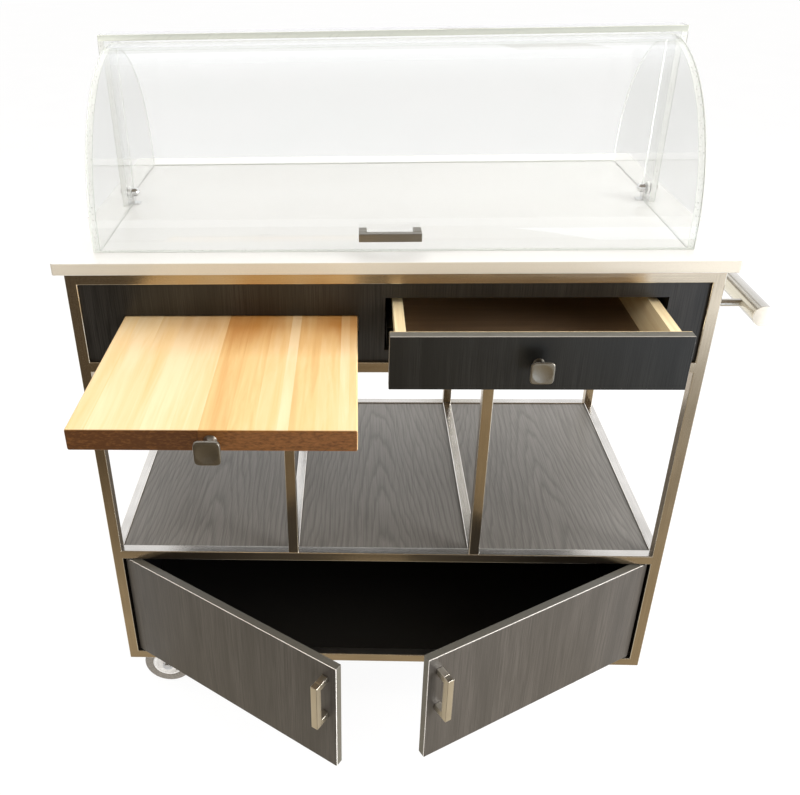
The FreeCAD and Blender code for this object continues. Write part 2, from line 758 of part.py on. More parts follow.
# Push bar on two standoffs from the right-hand corner posts
bar_radius = bar_diameter / 2
bar_x = half_width + bar_standoff + bar_radius
bar_z = frame_top - bar_drop
bar_start = V(bar_x, -bar_length / 2, bar_z)
bar_solid = rod(bar_start, Y_AXIS, bar_length, bar_diameter)
bar_bore = rod(bar_start, Y_AXIS, bar_length, bar_diameter - 2 * bar_wall)
pieces["push_bar"] = [bar_solid.cut(bar_bore)]
standoffs = []
for y in (tube_size / 2 - half_depth, half_depth - tube_size / 2):
    standoff = rod(V(half_width, y, bar_z), X_AXIS, bar_x - half_width, standoff_diameter)
    standoffs.append(standoff.cut(bar_solid))
pieces["push_bar_standoffs"] = standoffs

plug_radius = bar_radius - bar_wall - running_clearance
cap_profile = [
    (0, -cap_plug),
    (plug_radius, -cap_plug),
    (plug_radius, 0),
    (bar_radius, 0),
    (bar_radius, cap_flange),
    crown_arc(bar_radius, cap_flange, cap_crown),
]
caps = []
for sign in (-1, 1):
    caps.append(revolved(cap_profile, V(bar_x, sign * bar_length / 2, bar_z), Y_AXIS * sign))
pieces["push_bar_caps"] = caps

os.makedirs("parts", exist_ok=True)
for name, solids in pieces.items():
    Part.makeCompound(solids).exportStep("parts/" + name + ".step")
print(len(pieces), "sub-parts,", sum(len(solids) for solids in pieces.values()), "solids")
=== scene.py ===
# %% [markdown]
# # Dressing a cheese cart
# A cheese cart is a steel frame on casters that carries a stone counter under a clear cover. Below
# the counter there are a pull-out cutting board and a drawer, then three open shelf bays, then a
# cabinet with two doors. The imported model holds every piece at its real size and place. This
# lesson dresses it: pieces that show are rebuilt as smooth surfaces with soft edges, and every
# surface gets a finish made of nodes.

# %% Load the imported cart
import json
import math
import bmesh
import bpy
import numpy as np
from mathutils import Matrix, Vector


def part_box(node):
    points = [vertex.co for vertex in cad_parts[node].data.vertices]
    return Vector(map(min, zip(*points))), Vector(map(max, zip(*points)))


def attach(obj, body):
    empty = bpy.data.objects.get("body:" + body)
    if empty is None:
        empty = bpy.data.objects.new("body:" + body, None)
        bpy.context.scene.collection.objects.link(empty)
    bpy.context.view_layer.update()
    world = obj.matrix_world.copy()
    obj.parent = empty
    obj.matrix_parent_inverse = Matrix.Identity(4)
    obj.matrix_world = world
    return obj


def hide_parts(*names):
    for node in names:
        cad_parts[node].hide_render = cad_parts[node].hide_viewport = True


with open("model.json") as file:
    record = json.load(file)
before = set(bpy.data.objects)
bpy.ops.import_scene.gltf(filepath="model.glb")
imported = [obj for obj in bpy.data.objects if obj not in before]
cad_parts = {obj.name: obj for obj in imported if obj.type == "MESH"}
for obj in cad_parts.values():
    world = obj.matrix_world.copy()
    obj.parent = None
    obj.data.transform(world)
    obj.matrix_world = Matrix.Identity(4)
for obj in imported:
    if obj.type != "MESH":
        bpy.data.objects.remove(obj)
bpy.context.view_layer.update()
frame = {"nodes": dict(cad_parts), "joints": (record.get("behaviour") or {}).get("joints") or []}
joints = {joint["name"]: joint for joint in frame["joints"]}
print("pieces in the frame:", len(frame["nodes"]), "joints:", len(joints))

# %% [markdown]
# ## Surfaces from arrays
# Nearly every piece of a cart is a bar, a sheet or something turned on a lathe. Each of these is a
# stack of outlines with a skin over it, so one function that skins a stack serves for all. It
# could be done with Blender's extrude and bevel tools, but arrays keep every size in view and
# give a UV map in metres for free.

# %% Skin a stack of outlines
MM = 0.001


def skin(sections, ring=False):
    """A closed skin: sections[i, j] is point j of outline i, and neighbours span quads.

    Every outline wraps round. With ring the last outline meets the first, as on a tyre.
    Otherwise one flat face closes each end. U is the length round the outline and V the length
    along the stack, both in metres.
    """
    rows, cols = sections.shape[:2]
    spans = rows if ring else rows - 1
    row, col = np.divmod(np.arange(spans * cols), cols)
    this_row = row * cols
    next_row = (row + 1) % rows * cols
    next_col = (col + 1) % cols
    quads = [this_row + col, this_row + next_col, next_row + next_col, next_row + col]
    faces = list(np.stack(quads, 1))
    round_steps = np.linalg.norm(np.roll(sections, -1, axis=1) - sections, axis=2).max(axis=0)
    stack_steps = np.linalg.norm(np.roll(sections, -1, axis=0) - sections, axis=2).mean(axis=1)
    u = np.concatenate([[0.0], np.cumsum(round_steps)])
    v = np.concatenate([[0.0], np.cumsum(stack_steps)])
    corner_u = np.stack([u[col], u[col + 1], u[col + 1], u[col]], 1)
    corner_v = np.stack([v[row], v[row], v[row + 1], v[row + 1]], 1)
    uv = np.stack([corner_u, corner_v], -1).reshape(-1, 2)
    if not ring:
        around = np.arange(cols)
        faces += [around[::-1], around + (rows - 1) * cols]
        end_u = np.concatenate([u[around[::-1]], u[around]])
        uv = np.concatenate([uv, np.stack([end_u, np.zeros(2 * cols)], 1)])
    return sections.reshape(-1, 3), faces, uv


def joined(surfaces):
    """Several surfaces as one: points are stacked and each face's corner numbers are moved up."""
    starts = np.cumsum([0] + [len(points) for points, _, _ in surfaces])
    points = np.concatenate([points for points, _, _ in surfaces])
    faces = [face + start for (_, part, _), start in zip(surfaces, starts) for face in part]
    return points, faces, np.concatenate([uv for _, _, uv in surfaces])


def moved(surface, change):
    """The same surface with its points passed through a function of an (n, 3) array."""
    return change(surface[0]), surface[1], surface[2]


print("a skin over two outlines of four points has", len(skin(np.zeros((2, 4, 3)))[1]), "faces")

# %% [markdown]
# ## From a surface to a piece
# A mesh is filled from the arrays, its faces are turned outwards and its smooth shading is kept from
# running over sharp edges. A Weighted Normal modifier leaves flat faces flat beside their rounded
# edges. The piece then rides on its body and stands for its imported nodes.

# %% Put a surface into the scene
SHARP_ANGLE = math.radians(38)


def put(name, surface, finish, body, slot, nodes, edge_finishes=(), edge_faces=None, **attributes):
    """Make the object, ride it on its body and let it stand for its nodes.

    A face marked n in edge_faces takes the nth edge finish, and 0 stands for the main finish.
    Attributes are arrays with a row per point.
    """
    points, faces, uv = surface
    mesh = bpy.data.meshes.new(name)
    mesh.from_pydata(points.tolist(), [], [face.tolist() for face in faces])
    mesh.uv_layers.new(name="UVMap").data.foreach_set("uv", uv.astype(np.float32).ravel())
    for key, values in attributes.items():
        kind, field = ("FLOAT", "value") if values.ndim == 1 else ("FLOAT_VECTOR", "vector")
        data = mesh.attributes.new(key, kind, "POINT").data
        data.foreach_set(field, values.astype(np.float32).ravel())
    shell = bmesh.new()
    shell.from_mesh(mesh)
    bmesh.ops.recalc_face_normals(shell, faces=shell.faces)
    shell.to_mesh(mesh)
    shell.free()
    mesh.polygons.foreach_set("use_smooth", np.ones(len(mesh.polygons), bool))
    mesh.set_sharp_from_angle(angle=SHARP_ANGLE)
    for each in (finish, *edge_finishes):
        mesh.materials.append(each)
    if edge_finishes:
        mesh.polygons.foreach_set("material_index", np.array(edge_faces, np.int32))
    piece = bpy.data.objects.new(name, mesh)
    bpy.context.scene.collection.objects.link(piece)
    flat = piece.modifiers.new("flat faces stay flat", "WEIGHTED_NORMAL")
    flat.keep_sharp = True
    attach(piece, body)
    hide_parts(*nodes)
    print(name, "-", len(mesh.polygons), "faces on", body)
    return piece


# %% [markdown]
# ## Bars, sheets and turned shapes
# No edge on a real bar is perfectly sharp, and it is the thin highlight along that soft edge that
# makes metal and stone look real. A bevel modifier would do it too. Here the roundness is part of
# the formula: a rounded rectangle is carried along the bar and drawn in a little at both ends.

# %% Eased bars and sheets
CORNER_STEPS = 4
END_KEEP = 0.9
ARRIS_SHARE = np.sin(np.linspace(0, math.pi, CORNER_STEPS + 1))


def quarter_round(radius, steps):
    """A rounded edge: how far each row is drawn in, r * (1 - sin t), and has risen, r * (1 - cos t)."""
    turn = np.linspace(0, math.pi / 2, steps + 1)
    return radius * (1 - np.sin(turn)), radius * (1 - np.cos(turn))


def eased_block(width, height, length, ease, corner=None, rows=2):
    """Sections of a bar with eased edges, as an array of (across, up, along) points.

    The outline is four quarter circles of the corner radius about the corners' centres. Near each
    end it is drawn in by a quarter round.
    """
    corner = corner or ease
    quarter = np.linspace(0, math.pi / 2, CORNER_STEPS + 1)
    turn = (quarter + np.arange(4)[:, None] * math.pi / 2).ravel()
    signs = np.repeat([[1, 1], [-1, 1], [-1, -1], [1, -1]], CORNER_STEPS + 1, axis=0)
    centres = signs * [width / 2 - corner, height / 2 - corner]
    unit = np.stack([np.cos(turn), np.sin(turn)], -1)
    draw, rise = quarter_round(ease, CORNER_STEPS)
    middle = np.linspace(ease, length - ease, rows)[1:-1]
    along = np.concatenate([rise, middle, length - rise[::-1]])
    inset = END_KEEP * np.concatenate([draw, np.zeros(len(middle)), draw[::-1]])
    outline = centres[None] + (corner - inset)[:, None, None] * unit[None]
    height_along = np.broadcast_to(along[:, None, None], outline.shape[:2] + (1,))
    return np.concatenate([outline, height_along], axis=2)


def bar(low, high, ease, axis, corner=None):
    """An eased bar between two corners of the frame, carried along the X, Y or Z axis (0, 1 or 2)."""
    low = np.array(low)
    high = np.array(high)
    first, second = [n for n in range(3) if n != axis]
    size = high - low
    local = eased_block(size[first], size[second], size[axis], ease, corner)
    sections = np.empty_like(local)
    sections[..., first] = local[..., 0] + (low[first] + high[first]) / 2
    sections[..., second] = local[..., 1] + (low[second] + high[second]) / 2
    sections[..., axis] = local[..., 2] + low[axis]
    return skin(sections)


def arrises(surface):
    """1 along the middle of every eased corner of one or more bars, falling to 0 on the flats."""
    one_outline = np.tile(ARRIS_SHARE, 4)
    return np.tile(one_outline, len(surface[0]) // len(one_outline))


print("one outline of a bar has", 4 * len(ARRIS_SHARE), "points")

# %% Turned shapes and turned points
TURN_STEPS = 64


def turned(profile, centre, axis, ring=False, steps=TURN_STEPS):
    """A profile of (radius, height) points turned about an axis of the frame (0, 1 or 2)."""
    profile = np.array(profile)
    angle = np.linspace(0, 2 * math.pi, steps, endpoint=False)
    first, second = [(1, 2), (2, 0), (0, 1)][axis]
    sections = np.empty((len(profile), steps, 3))
    sections[..., first] = centre[first] + profile[:, :1] * np.cos(angle)
    sections[..., second] = centre[second] + profile[:, :1] * np.sin(angle)
    sections[..., axis] = centre[axis] + profile[:, 1:]
    return skin(sections, ring)


def swung(pivot, degrees):
    """A function that turns points about the vertical line through a pivot."""
    cos = math.cos(math.radians(degrees))
    sin = math.sin(math.radians(degrees))
    spin = np.array([[cos, -sin, 0], [sin, cos, 0], [0, 0, 1]])
    return lambda points: (points - pivot) @ spin.T + pivot


print("a turned outline has", TURN_STEPS, "points")

# %% [markdown]
# ## A short hand for nodes
# A finish is a small graph of nodes. Written out in full, each node takes several lines, so one
# helper makes a node, sets its options, and either stores a value in an input or links another
# node's output to it. The other helpers are the few steps that most finishes share.

# %% One node, one finish
def feed(tree, socket, value):
    """Link an output socket to an input, or store a plain value in it."""
    if isinstance(value, bpy.types.NodeSocket):
        tree.links.new(value, socket)
    else:
        socket.default_value = value


def node(tree, kind, inputs=None, **settings):
    """Add one node; an input is a plain value, or an output socket to link from."""
    made = tree.nodes.new("ShaderNode" + kind)
    for key, value in settings.items():
        setattr(made, key, value)
    for key, value in (inputs or {}).items():
        feed(tree, made.inputs[key], value)
    return made


def new_finish(name, constants=None):
    """A material with its main shader; what is the same all over is set straight on a socket."""
    finish = bpy.data.materials.new(name)
    finish.use_nodes = True
    shader = finish.node_tree.nodes["Principled BSDF"]
    for key, value in (constants or {}).items():
        shader.inputs[key].default_value = value
    return finish, finish.node_tree, shader


print("finishes so far:", len(bpy.data.materials))

# %% Arithmetic, ramps and mixes
MIX_FIRST, MIX_SECOND, MIX_RESULT = 6, 7, 2
NOISE_LOW, NOISE_HIGH = 0.3, 0.7


def math_node(tree, operation, *values):
    """One step of arithmetic on one, two or three values."""
    made = node(tree, "Math", operation=operation)
    for socket, value in zip(made.inputs, values):
        feed(tree, socket, value)
    return made.outputs["Value"]


def between(tree, value, start, stop, low=0.0, high=1.0, **settings):
    """A value that runs from low to high while another goes from start to stop."""
    limits = {"Value": value, "From Min": start, "From Max": stop, "To Min": low, "To Max": high}
    return node(tree, "MapRange", limits, **settings).outputs["Result"]


def spread(tree, value, low, high):
    """A value between 0 and 1 brought between two limits."""
    return between(tree, value, 0.0, 1.0, low, high)


def ramp(tree, value, *stops, interpolation="LINEAR"):
    """Colours, or greys, spread along a value between 0 and 1."""
    made = node(tree, "ValToRGB", {"Fac": value})
    made.color_ramp.interpolation = interpolation
    elements = made.color_ramp.elements
    while len(elements) < len(stops):
        elements.new(0.5)
    for element, (position, colour) in zip(elements, stops):
        element.position = position
        element.color = (*(colour if isinstance(colour, tuple) else (colour,) * 3), 1.0)
    return made.outputs["Color"]


def two_tones(tree, pattern, dark, pale):
    """Dark where a noise is low and pale where it is high; most of a noise lies near its middle."""
    return ramp(tree, pattern, (NOISE_LOW, dark), (NOISE_HIGH, pale))


def mixed(tree, share, first, second, blend="MIX"):
    """Two colours, or outputs that give one, mixed by a share."""
    made = node(tree, "Mix", {"Factor": share}, data_type="RGBA", blend_type=blend)
    for number, colour in ((MIX_FIRST, first), (MIX_SECOND, second)):
        feed(tree, made.inputs[number], (*colour, 1.0) if isinstance(colour, tuple) else colour)
    return made.outputs[MIX_RESULT]


def tinted(tree, colour, tint):
    """A colour times a tint."""
    return mixed(tree, 1.0, colour, tint, "MULTIPLY")


print("two tones share a noise between", NOISE_LOW, "and", NOISE_HIGH)

# %% Places, patterns and the last step
def axes_of(tree, source):
    """X, Y and Z of a place, a normal or a direction."""
    return node(tree, "SeparateXYZ", {"Vector": node(tree, "TexCoord").outputs[source]}).outputs


def looks_up(tree):
    """1 on level faces and 0 on upright ones: how far the normal points along Z."""
    return math_node(tree, "ABSOLUTE", axes_of(tree, "Normal")["Z"])


def carried(tree, attribute):
    """A number that each point of the piece carries."""
    return node(tree, "Attribute", attribute_name=attribute).outputs["Fac"]


def space(tree, source, stretch):
    """Pattern places: object space, the UV map or a named attribute, times a stretch per metre."""
    if source in ("Object", "UV"):
        start = node(tree, "TexCoord").outputs[source]
    else:
        start = node(tree, "Attribute", attribute_name=source).outputs["Vector"]
    return node(tree, "Mapping", {"Vector": start, "Scale": stretch}).outputs["Vector"]


def noise(tree, vector, detail=3.0, roughness=0.55, distortion=0.0):
    """Noise about one unit in size, so that the stretch of the space alone sets its scale."""
    inputs = {"Vector": vector, "Scale": 1.0, "Detail": detail, "Roughness": roughness}
    return node(tree, "TexNoise", {**inputs, "Distortion": distortion}).outputs["Fac"]


def dress(tree, shader, colour, pattern, gloss, depth):
    """Give the shader its colour, and let one pattern drive its roughness and its relief.

    The gloss is the roughness where the pattern is 0 and where it is 1. The depth is in metres.
    """
    tree.links.new(colour, shader.inputs["Base Color"])
    tree.links.new(spread(tree, pattern, *gloss), shader.inputs["Roughness"])
    relief = node(tree, "Bump", {"Height": pattern, "Distance": depth, "Strength": 1.0})
    tree.links.new(relief.outputs["Normal"], shader.inputs["Normal"])


print("node helpers ready")

# %% [markdown]
# ## Brushed steel
# The frame, the push bar and the small fittings are steel that was brushed along its length. The
# belt leaves thousands of fine scratches, so the gloss changes quickly across the bar and hardly at
# all along it. Stretching one noise pattern far along V gives exactly that, which is why bars carry
# a UV map. On the tube, upright faces are tinted darker and warmer than faces that look up: a painted
# reflection of the dim, warm room in front. Its eased corners carry a painted highlight and are the
# brightest.

# %% Steel finishes
CLOUD_STRETCH = (9.0, 9.0, 9.0)
SATIN_STRETCH = (1500.0, 40.0, 1.0)
SCRATCH_DEPTH = 0.04 * MM


def brushed_metal(name, source, stretch, dark, pale, gloss=(0.24, 0.42), upright=None, arris_highlight=None):
    """Scratched metal: streak noise drives gloss and relief, and its mean with clouds the colour.

    Upright faces are tinted by one colour, a painted reflection, and points with the arris
    attribute take another, a painted highlight.
    """
    finish, tree, shader = new_finish(name, {"Metallic": 1.0})
    streaks = noise(tree, space(tree, source, stretch))
    clouds = noise(tree, space(tree, "Object", CLOUD_STRETCH), detail=2.0)
    mean = math_node(tree, "MULTIPLY_ADD", clouds, 0.5, math_node(tree, "MULTIPLY", streaks, 0.5))
    colour = two_tones(tree, mean, dark, pale)
    if upright:
        colour = mixed(tree, looks_up(tree), tinted(tree, colour, upright), colour)
    if arris_highlight:
        colour = mixed(tree, carried(tree, "arris"), colour, arris_highlight)
    dress(tree, shader, colour, streaks, gloss, SCRATCH_DEPTH)
    return finish


# Painted reflection and painted highlight: the tube's upright faces take a warm, darker tint for the room
# in front, and its arrises a near-white colour.
steel_tube = brushed_metal(
    "steel_tube", "UV", (1400.0, 9.0, 1.0), (0.52, 0.50, 0.47), (0.80, 0.78, 0.74),
    gloss=(0.15, 0.30), upright=(0.67, 0.57, 0.44), arris_highlight=(0.98, 0.95, 0.89))
# The bar's steel is a darker copy of the tube's: painted shade for the dim room that the push bar and its
# rods mirror.
steel_bar = brushed_metal(
    "steel_bar", "UV", (900.0, 12.0, 1.0), (0.50, 0.48, 0.44), (0.66, 0.64, 0.59), gloss=(0.18, 0.32))
# Two copies of one satin nickel: painted darker for the knobs and the cover pull, as painted shade for
# the dim room they mirror, and painted paler for the door pulls, as painted light.
satin_nickel = brushed_metal(
    "satin_nickel", "UV", SATIN_STRETCH, (0.24, 0.222, 0.19), (0.34, 0.318, 0.272))
door_nickel = brushed_metal(
    "door_nickel", "UV", SATIN_STRETCH, (0.67, 0.63, 0.54), (0.87, 0.83, 0.75))
bright_plate = brushed_metal(
    "bright_plate", "Object", (60.0, 60.0, 60.0), (0.74, 0.74, 0.74), (0.86, 0.86, 0.86),
    gloss=(0.08, 0.2))
zinc_plate = brushed_metal(
    "zinc_plate", "Object", (160.0, 160.0, 160.0), (0.46, 0.47, 0.49), (0.66, 0.67, 0.69),
    gloss=(0.28, 0.5))
slide_zinc = brushed_metal(
    "slide_zinc", "Object", (700.0, 8.0, 700.0), (0.010, 0.010, 0.011), (0.030, 0.030, 0.032))
print("steel finishes made")

# %% [markdown]
# ## Charcoal laminate
# The panels are board faced with a charcoal woodgrain laminate, with fine upright pores on the
# fronts. An image would be the usual way. Here two noises stretched along the grain make it: a
# dense one for the pores, pressed in a little, and a slow one for the lighter and darker bands. The
# edges carry a grey tape, and beside it the laminate's own thickness shows as a thin pale line,
# painted pale as a painted highlight along the front arris. The laminate comes in darker and paler
# copies, as painted shade and painted light. The cabinet is lined in black, and the drawer front is
# bare maple on its inner face.

# %% Grain and lining
PORES_ACROSS, PORES_ALONG = 620.0, 11.0
BANDS_ACROSS, BANDS_ALONG = 34.0, 1.6
INWARD_LIMIT = -0.05


def along_grain(across, along, dense, slow):
    """A stretch per metre: dense on the axes across the grain and slow on the axis along it."""
    stretch = [0.0, 0.0, 0.0]
    for axis in across:
        stretch[axis] = dense
    stretch[along] = slow
    return stretch


def inward(tree):
    """1 on faces that look towards the cart's upright axis, where the normal points against the place."""
    coords = node(tree, "TexCoord").outputs
    level = node(tree, "VectorMath", {0: coords["Object"], 1: (1.0, 1.0, 0.0)}, operation="MULTIPLY")
    both = {0: coords["Normal"], 1: level.outputs["Vector"]}
    facing = node(tree, "VectorMath", both, operation="DOT_PRODUCT").outputs["Value"]
    return math_node(tree, "LESS_THAN", facing, INWARD_LIMIT)


print("pores lie about", round(1 / PORES_ACROSS / MM, 1), "mm apart")

# %% Laminate finish
TAPE_GREY = (0.105, 0.101, 0.085)
TAPE_STARTS = 0.4
LIP_WIDTH = 1.9 * MM
LAMINATE_GLOSS = (0.46, 0.29)
PORE_DEPTH = 0.12 * MM
MAPLE, MAPLE_PALE = (0.74, 0.57, 0.32), (0.90, 0.77, 0.50)


def laminate(name, source, across, along, dark, pale, sheen=0.5, pore=0.45,
             lip_highlight=None, lining=None, inside=None):
    """Woodgrain: pores and bands stretched along one axis.

    A panel with a lip_highlight colour carries two attributes: tape is 1 round its edge, and behind
    is the distance from its front face, which tells where the pale line ends. The pale line is the
    laminate's thickness, painted pale as a painted highlight. Past the inside depth it is bare maple.
    With a lining colour, faces that look inwards take that colour.
    """
    finish, tree, shader = new_finish(name, {"Specular IOR Level": sheen})
    fine = along_grain(across, along, PORES_ACROSS, PORES_ALONG)
    slow = along_grain(across, along, BANDS_ACROSS, BANDS_ALONG)
    pores = noise(tree, space(tree, source, fine), detail=4.0, roughness=0.6)
    bands = noise(tree, space(tree, source, slow), detail=3.0, roughness=0.5, distortion=0.4)
    colour = ramp(tree, bands, (0.32, dark), (0.68, pale))
    in_pore = ramp(tree, pores, (0.36, 1.0), (0.60, 0.0))
    colour = mixed(tree, in_pore, colour, tuple(pore * part for part in dark))
    if lip_highlight:
        tape = carried(tree, "tape")
        behind = carried(tree, "behind")
        near_face = math_node(tree, "LESS_THAN", behind, LIP_WIDTH)
        line = math_node(tree, "MULTIPLY", near_face, math_node(tree, "GREATER_THAN", tape, TAPE_STARTS))
        colour = mixed(tree, line, mixed(tree, tape, colour, TAPE_GREY), lip_highlight)
    if inside:
        colour = mixed(tree, math_node(tree, "GREATER_THAN", behind, inside), colour, MAPLE)
    if lining:
        colour = mixed(tree, inward(tree), colour, lining)
    dress(tree, shader, colour, pores, LAMINATE_GLOSS, PORE_DEPTH)
    return finish


print("the pale line is", round(LIP_WIDTH / MM, 1), "mm wide")

# %% Charcoal fronts and sides
# One charcoal laminate in three copies: darkest on the drawer front and the cabinet as painted shade,
# paler on the fascia and aprons, and palest on the doors as painted light from the floor in front.
SHADED_CHARCOAL, SHADED_CHARCOAL_PALE = (0.0042, 0.0042, 0.0035), (0.0115, 0.0113, 0.0098)
HALF_LIT_CHARCOAL, HALF_LIT_CHARCOAL_PALE = (0.010, 0.0088, 0.0073), (0.026, 0.023, 0.0195)
LIT_DOOR_CHARCOAL, LIT_DOOR_CHARCOAL_PALE = (0.045, 0.041, 0.038), (0.077, 0.069, 0.063)
LINING_BLACK = (0.006, 0.006, 0.007)
# The pale lip colours are painted highlights along the front arrises, much paler on the doors than on the
# drawer front.
DOOR_LIP_HIGHLIGHT = (0.95, 0.92, 0.88)
DRAWER_LIP_HIGHLIGHT = (0.39, 0.36, 0.32)
front_low, front_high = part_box("drawer_front")
upright_laminate = laminate(
    "upright_laminate", "Object", (0, 1), 2, HALF_LIT_CHARCOAL, HALF_LIT_CHARCOAL_PALE)
cabinet_laminate = laminate(
    "cabinet_laminate", "Object", (0, 1), 2, SHADED_CHARCOAL, SHADED_CHARCOAL_PALE, lining=LINING_BLACK)
drawer_laminate = laminate(
    "drawer_laminate", "grain", (0, 2), 1, SHADED_CHARCOAL, SHADED_CHARCOAL_PALE, lip_highlight=DRAWER_LIP_HIGHLIGHT,
    inside=front_high.y - front_low.y - LIP_WIDTH)
door_laminate = laminate(
    "door_laminate", "grain", (0, 2), 1, LIT_DOOR_CHARCOAL, LIT_DOOR_CHARCOAL_PALE, sheen=0.8, pore=0.8,
    lip_highlight=DOOR_LIP_HIGHLIGHT)
print("laminate finishes made")

# %% [markdown]
# ## Shelf laminate with arched grain
# The three shelf panels show the arches of a plank cut through the growth rings. Rings are cones, so
# a plank cuts them in arches: the ring number is the distance from the pith, root(x * x + d * d),
# plus a slow drift along the plank. A little noise makes the arches uneven.

# %% Shelf finish
RINGS_PER_METRE = 95.0
PITH_DEPTH = 0.03
DRIFT_PER_METRE = 9.0
SWAY = 0.05
WOBBLE = 0.9
RING_TONES = (
    (0.0, (0.160, 0.151, 0.136)), (0.25, (0.212, 0.201, 0.182)),
    (0.8, (0.234, 0.221, 0.201)), (1.0, (0.166, 0.157, 0.141)),
)
SHELF_PORE = (0.105, 0.098, 0.088)


def arched_laminate(name):
    """Arches from ring number = 95 * root(x^2 + 0.03^2) + 9 * y + noise, with pores on top."""
    finish, tree, shader = new_finish(name)
    place = node(tree, "SeparateXYZ", {"Vector": space(tree, "grain", (1.0, 1.0, 1.0))}).outputs
    sway = noise(tree, space(tree, "grain", (5.0, 1.4, 1.0)), detail=2.0)
    x = math_node(tree, "ADD", place["X"], spread(tree, sway, -SWAY, SWAY))
    from_pith = math_node(tree, "SQRT", math_node(tree, "MULTIPLY_ADD", x, x, PITH_DEPTH ** 2))
    rings = math_node(tree, "MULTIPLY", from_pith, RINGS_PER_METRE)
    drift = math_node(tree, "MULTIPLY", place["Y"], DRIFT_PER_METRE)
    uneven = noise(tree, space(tree, "grain", (40.0, 5.0, 1.0)), detail=4.0)
    wobble = spread(tree, uneven, -WOBBLE, WOBBLE)
    number = math_node(tree, "ADD", math_node(tree, "ADD", rings, drift), wobble)
    colour = ramp(tree, math_node(tree, "FRACT", number), *RING_TONES)
    pores = noise(tree, space(tree, "grain", (560.0, 9.0, 1.0)), detail=4.0, roughness=0.6)
    in_pore = ramp(tree, pores, (0.34, 0.55), (0.56, 0.0))
    colour = mixed(tree, in_pore, colour, SHELF_PORE)
    dress(tree, shader, colour, pores, (0.50, 0.33), 0.1 * MM)
    return finish


shelf_laminate = arched_laminate("shelf_laminate")
print("shelf finish made")

# %% [markdown]
# ## Maple
# The cutting board is glued up from maple strips, so its tone changes in steps across the width. A
# short list gives each strip its width, its tone and how much painted shade its back end takes, and
# colour ramps with hard steps spread them over the board. The front edge shows end grain, which
# drinks more oil and is darker. The board also carries painted shade towards its back, which stays
# under the counter. The drawer box is plain pale maple, with a bottom painted dark as painted shade.

# %% The board's strips
# Each strip: its width in mm, its tone, and how much painted shade its back end takes.
STRIPS_MM_TONE_AND_BACK_SHADE = (
    (26, 0.62, 0.00), (38, 0.80, 0.15), (34, 0.66, 0.35), (40, 0.90, 0.60), (36, 0.70, 0.65),
    (38, 0.20, 1.00), (34, 0.38, 0.95), (30, 0.52, 0.90), (14, 0.90, 0.60), (34, 0.42, 0.90),
    (30, 0.50, 1.00), (14, 0.72, 0.70), (12, 0.60, 0.80),
)
FACE_TONES = ((0.25, (0.60, 0.32, 0.105)), (0.5, (0.74, 0.50, 0.225)), (0.78, (0.80, 0.63, 0.385)))
TONE_PART, GRAIN_PART = 0.48, 0.62
GRAIN_STEP = 37.0
# The back end's warm darkening is painted shade from the counter that hangs over it.
SHADED_BACK_TINT = (0.62, 0.39, 0.19)
BACK_SHADE_STARTS, BACK_SHADE_FULL = 0.20, 0.31
board_low, board_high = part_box("cutting_board")


def strip_face(tree, place):
    """Long grain: value = 0.48 * the strip's tone + 0.62 * grain noise, and painted shade to the back.

    The grain is shifted by a step per tone, so that it doesn't run on from strip to strip.
    """
    widths, tones, back_shades = np.array(STRIPS_MM_TONE_AND_BACK_SHADE).T
    starts = (np.cumsum(widths) - widths) / widths.sum()
    across = between(tree, place["X"], board_low.x, board_high.x)
    tone = ramp(tree, across, *zip(starts, tones), interpolation="CONSTANT")
    back_shade = ramp(tree, across, *zip(starts, back_shades), interpolation="CONSTANT")
    shift = node(tree, "CombineXYZ", {"Z": math_node(tree, "MULTIPLY", tone, GRAIN_STEP)})
    parts = {0: space(tree, "Object", (75.0, 4.0, 20.0)), 1: shift.outputs["Vector"]}
    grain_at = node(tree, "VectorMath", parts, operation="ADD").outputs["Vector"]
    grain = noise(tree, grain_at, detail=5.0, roughness=0.6, distortion=0.6)
    grain_part = math_node(tree, "MULTIPLY", grain, GRAIN_PART)
    face = ramp(tree, math_node(tree, "MULTIPLY_ADD", tone, TONE_PART, grain_part), *FACE_TONES)
    to_back = between(tree, place["Y"], board_low.y + BACK_SHADE_STARTS, board_low.y + BACK_SHADE_FULL)
    patches = noise(tree, space(tree, "Object", (22.0, 5.0, 1.0)), detail=2.0)
    patchy_back_shade = math_node(tree, "MULTIPLY", back_shade, ramp(tree, patches, (0.36, 0.6), (0.6, 1.0)))
    back_shaded = math_node(tree, "MULTIPLY", to_back, patchy_back_shade)
    return mixed(tree, back_shaded, face, tinted(tree, face, SHADED_BACK_TINT)), grain


print("the board has", len(STRIPS_MM_TONE_AND_BACK_SHADE), "strips")

# %% Cutting board finish
END_GRAIN, END_GRAIN_PALE = (0.085, 0.031, 0.007), (0.205, 0.082, 0.019)
DARK_ENDS_WIDTH = 0.174
DARK_ENDS, PALE_ENDS = -0.18, 0.03
END_STARTS, END_FULL = 0.35, 0.8


def maple_block(name):
    """Strips from the list, with dark end grain where the normal points along Y."""
    finish, tree, shader = new_finish(name, {"Specular IOR Level": 0.22})
    place = axes_of(tree, "Object")
    face, grain = strip_face(tree, place)
    rings = noise(tree, space(tree, "Object", (150.0, 20.0, 420.0)), detail=4.0, roughness=0.6)
    dark_to = board_low.x + DARK_ENDS_WIDTH
    darker = between(tree, place["X"], dark_to, dark_to + MM, DARK_ENDS, PALE_ENDS)
    end = two_tones(tree, math_node(tree, "ADD", rings, darker), END_GRAIN, END_GRAIN_PALE)
    along_y = math_node(tree, "ABSOLUTE", axes_of(tree, "Normal")["Y"])
    is_end = between(tree, along_y, END_STARTS, END_FULL)
    dress(tree, shader, mixed(tree, is_end, face, end), grain, (0.36, 0.5), 0.08 * MM)
    return finish


